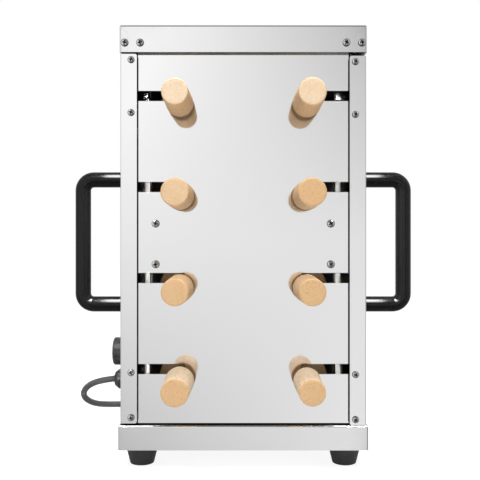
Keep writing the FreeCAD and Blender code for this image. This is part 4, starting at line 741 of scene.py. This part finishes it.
# Floor: pale, white to the camera but for the machine's shadow, and left out of what metal mirrors.
floor_half, floor_level = 6.0, -0.0004
floor_mesh = bpy.data.meshes.new("floor")
floor_mesh.from_pydata([(x * floor_half, y * floor_half, floor_level)
                        for x, y in ((-1, -1), (1, -1), (1, 1), (-1, 1))], [], [(0, 1, 2, 3)])
floor = bpy.data.objects.new("floor", floor_mesh)
scene.collection.objects.link(floor)
floor_paint, tree, shader = finish_of("floor_paint", (0.80, 0.80, 0.80))
shader.inputs["Roughness"].default_value = 0.8
glow = add_node(tree, "ShaderNodeEmission", {"Strength": 0.88})
soft = add_node(tree, "ShaderNodeBsdfDiffuse", {"Color": (0.30, 0.30, 0.30, 1.0)})
both = add_node(tree, "ShaderNodeAddShader")
path = add_node(tree, "ShaderNodeLightPath")
seen = add_node(tree, "ShaderNodeMixShader")
mirrored = add_node(tree, "ShaderNodeMixShader")
clear_view = add_node(tree, "ShaderNodeBsdfTransparent")
add_links(tree,
          (path.outputs["Is Camera Ray"], seen.inputs[0]),
          (shader.outputs["BSDF"], seen.inputs[1]),
          (glow.outputs["Emission"], both.inputs[0]),
          (soft.outputs["BSDF"], both.inputs[1]),
          (both.outputs["Shader"], seen.inputs[2]),
          (path.outputs["Is Glossy Ray"], mirrored.inputs[0]),
          (seen.outputs["Shader"], mirrored.inputs[1]),
          (clear_view.outputs["BSDF"], mirrored.inputs[2]),
          (mirrored.outputs["Shader"], tree.nodes["Material Output"].inputs["Surface"]))
floor_mesh.materials.append(floor_paint)


# Light tent: a white surround for the camera, soft light from all round, and what polished metal
# mirrors: a broad gradient in front, bright at the upper left, with walls round about.
world = bpy.data.worlds.new("light_tent")
scene.world = world
world.use_nodes = True
tree = world.node_tree
tree.nodes.clear()
place = tree.nodes.new("ShaderNodeTexCoord")
split = tree.nodes.new("ShaderNodeSeparateXYZ")
tree.links.new(place.outputs["Generated"], split.inputs["Vector"])


def reckon(operation, first, second=0.0, clamp=False):
    """One sum on the world's tree, from sockets or plain numbers."""
    node = add_node(tree, "ShaderNodeMath", operation=operation, use_clamp=clamp)
    for socket, value in zip(node.inputs, (first, second)):
        if isinstance(value, (int, float)):
            socket.default_value = value
        else:
            tree.links.new(value, socket)
    return node.outputs["Value"]


def plus(first, second):
    return reckon("ADD", first, second)


def minus(first, second):
    return reckon("SUBTRACT", first, second)


def times(first, second):
    return reckon("MULTIPLY", first, second)


def over(first, second):
    return reckon("DIVIDE", first, second)


def between(value, low, high):
    return reckon("MINIMUM", reckon("MAXIMUM", value, low), high)


def tone_ramp(value, stops):
    """Brightness read off a smooth ramp of (place, brightness)."""
    ramp = tree.nodes.new("ShaderNodeValToRGB")
    ramp.color_ramp.interpolation = "EASE"
    elements = ramp.color_ramp.elements
    elements[0].position, elements[1].position = stops[0][0], stops[-1][0]
    for position, tone in stops[1:-1]:
        elements.new(position)
    for element, (position, tone) in zip(elements, stops):
        element.color = (tone, tone, tone, 1.0)
    tree.links.new(value, ramp.inputs["Fac"])
    return ramp.outputs["Color"]


# In front, where the flat panels look: bright upper left to dim upper right, reversed below.
sideways, deep, upright = (split.outputs[axis] for axis in "XYZ")
forward = reckon("MAXIMUM", reckon("ABSOLUTE", deep), 0.2)
towards_cook = times(deep, -1.0)
across = between(over(sideways, forward), -0.3, 0.3)
upward = between(over(upright, forward), -0.32, 0.32)
above, below = reckon("MAXIMUM", upward, 0.0), reckon("MINIMUM", upward, 0.0)
slope = plus(plus(times(above, 5.1), times(below, 3.6)), 0.19)
tent = between(minus(plus(times(below, 0.48), 0.896), times(across, slope)), 0.5, 1.07)
facing = reckon("MULTIPLY", minus(towards_cook, 0.90), 22.0, clamp=True)
aside = reckon("ABSOLUTE", over(sideways, forward))
opening = reckon("MULTIPLY", minus(0.215, aside), 32.0, clamp=True)
facing = times(facing, opening)
# Round about, from behind over the left and the front to the right: grey walls, brighter at the
# front left, black flags on both sides of the opening. Steep ways are an even dark grey.
around = plus(over(reckon("ARCTAN2", sideways, towards_cook), 2.0 * math.pi), 0.5)
walls = tone_ramp(around, ((0.0, 0.66), (0.14, 0.60), (0.25, 0.52), (0.31, 0.50), (0.36, 0.85),
                           (0.43, 0.88), (0.455, 0.12), (0.50, 0.12), (0.54, 0.08), (0.57, 0.32),
                           (0.66, 0.55), (0.75, 0.64), (0.86, 0.78), (1.0, 0.66)))
height = plus(times(upright, 0.5), 0.5)
level = tone_ramp(height, ((0.0, 0.70), (0.25, 0.62), (0.40, 0.78), (0.5, 1.0), (0.75, 1.05), (1.0, 0.8)))
steep = reckon("MULTIPLY", minus(reckon("ABSOLUTE", upright), 0.6), 3.0, clamp=True)
walls = plus(times(walls, minus(1.0, steep)), times(steep, 0.45))
gloss_light = plus(times(tent, facing), times(times(walls, level), minus(1.0, facing)))
ambient = plus(times(upright, 0.12), 0.29)
path = add_node(tree, "ShaderNodeLightPath")
mixed = add_node(tree, "ShaderNodeMix")
clear = add_node(tree, "ShaderNodeMix", {"B": 1.0})
unhindered = reckon("MAXIMUM", path.outputs["Is Camera Ray"], path.outputs["Is Transmission Ray"])
background = add_node(tree, "ShaderNodeBackground", {"Color": (1.0, 1.0, 1.0, 1.0)})
output = add_node(tree, "ShaderNodeOutputWorld")
add_links(tree,
          (path.outputs["Is Glossy Ray"], mixed.inputs["Factor"]),
          (ambient, mixed.inputs["A"]),
          (gloss_light, mixed.inputs["B"]),
          (unhindered, clear.inputs["Factor"]),
          (mixed.outputs["Result"], clear.inputs["A"]),
          (clear.outputs["Result"], background.inputs["Strength"]),
          (background.outputs["Background"], output.inputs["Surface"]))


def area_lamp(name, place_at, turned, size, power, spread=180.0):
    """A flat lamp of width and height, at a place and turned by its angles."""
    lamp_data = bpy.data.lights.new(name, "AREA")
    lamp_data.shape = "RECTANGLE"
    lamp_data.size, lamp_data.size_y = size
    lamp_data.spread = math.radians(spread)
    lamp_data.energy = power
    lamp = bpy.data.objects.new(name, lamp_data)
    lamp.location = place_at
    lamp.rotation_euler = turned
    scene.collection.objects.link(lamp)
    return lamp


# Soft lamps for the matt pieces, left out of what metal mirrors.
for name, place_at, aim, size, power in (
        ("key", (-0.35, -1.0, 1.3), (0.0, -0.1, 0.25), 0.5, 10.6),
        ("fill", (1.5, -1.3, 0.9), (0.0, -0.1, 0.25), 1.1, 4.5),
        ("overhead", (0.1, -0.1, 1.8), (0.0, -0.1, 0.3), 0.8, 34.0)):
    way = np.array(place_at) - np.array(aim)
    tilt = math.atan2(math.hypot(way[0], way[1]), way[2])
    turned = (tilt, 0.0, math.atan2(way[1], way[0]) + math.pi / 2.0)
    lamp = area_lamp(name, place_at, turned, (size, size), power)
    lamp.visible_camera = False
    lamp.visible_glossy = False

# A strip lamp above each leg of the handles draws the highlight along the enamel.
glint_ahead, glint_above = 0.085, 0.115
for side in (-1.0, 1.0):
    for level in leg_levels:
        glint = area_lamp("handle_glint", (side * 0.188, handle_y - glint_ahead, level + glint_above),
                          (math.atan2(glint_ahead, glint_above), 0.0, 0.0), (0.034, 0.16), 0.12, spread=60.0)
        glint.visible_camera = False

# A narrow beam behind each column of slots falls on the door seal.
for side in (-1.0, 1.0):
    area_lamp("slot_light", (side * 0.1500, -0.105, 0.295), (math.pi / 2.0, 0.0, 0.0), (0.004, 0.45), 0.010,
              spread=3.0)

scene.view_settings.view_transform = "Standard"
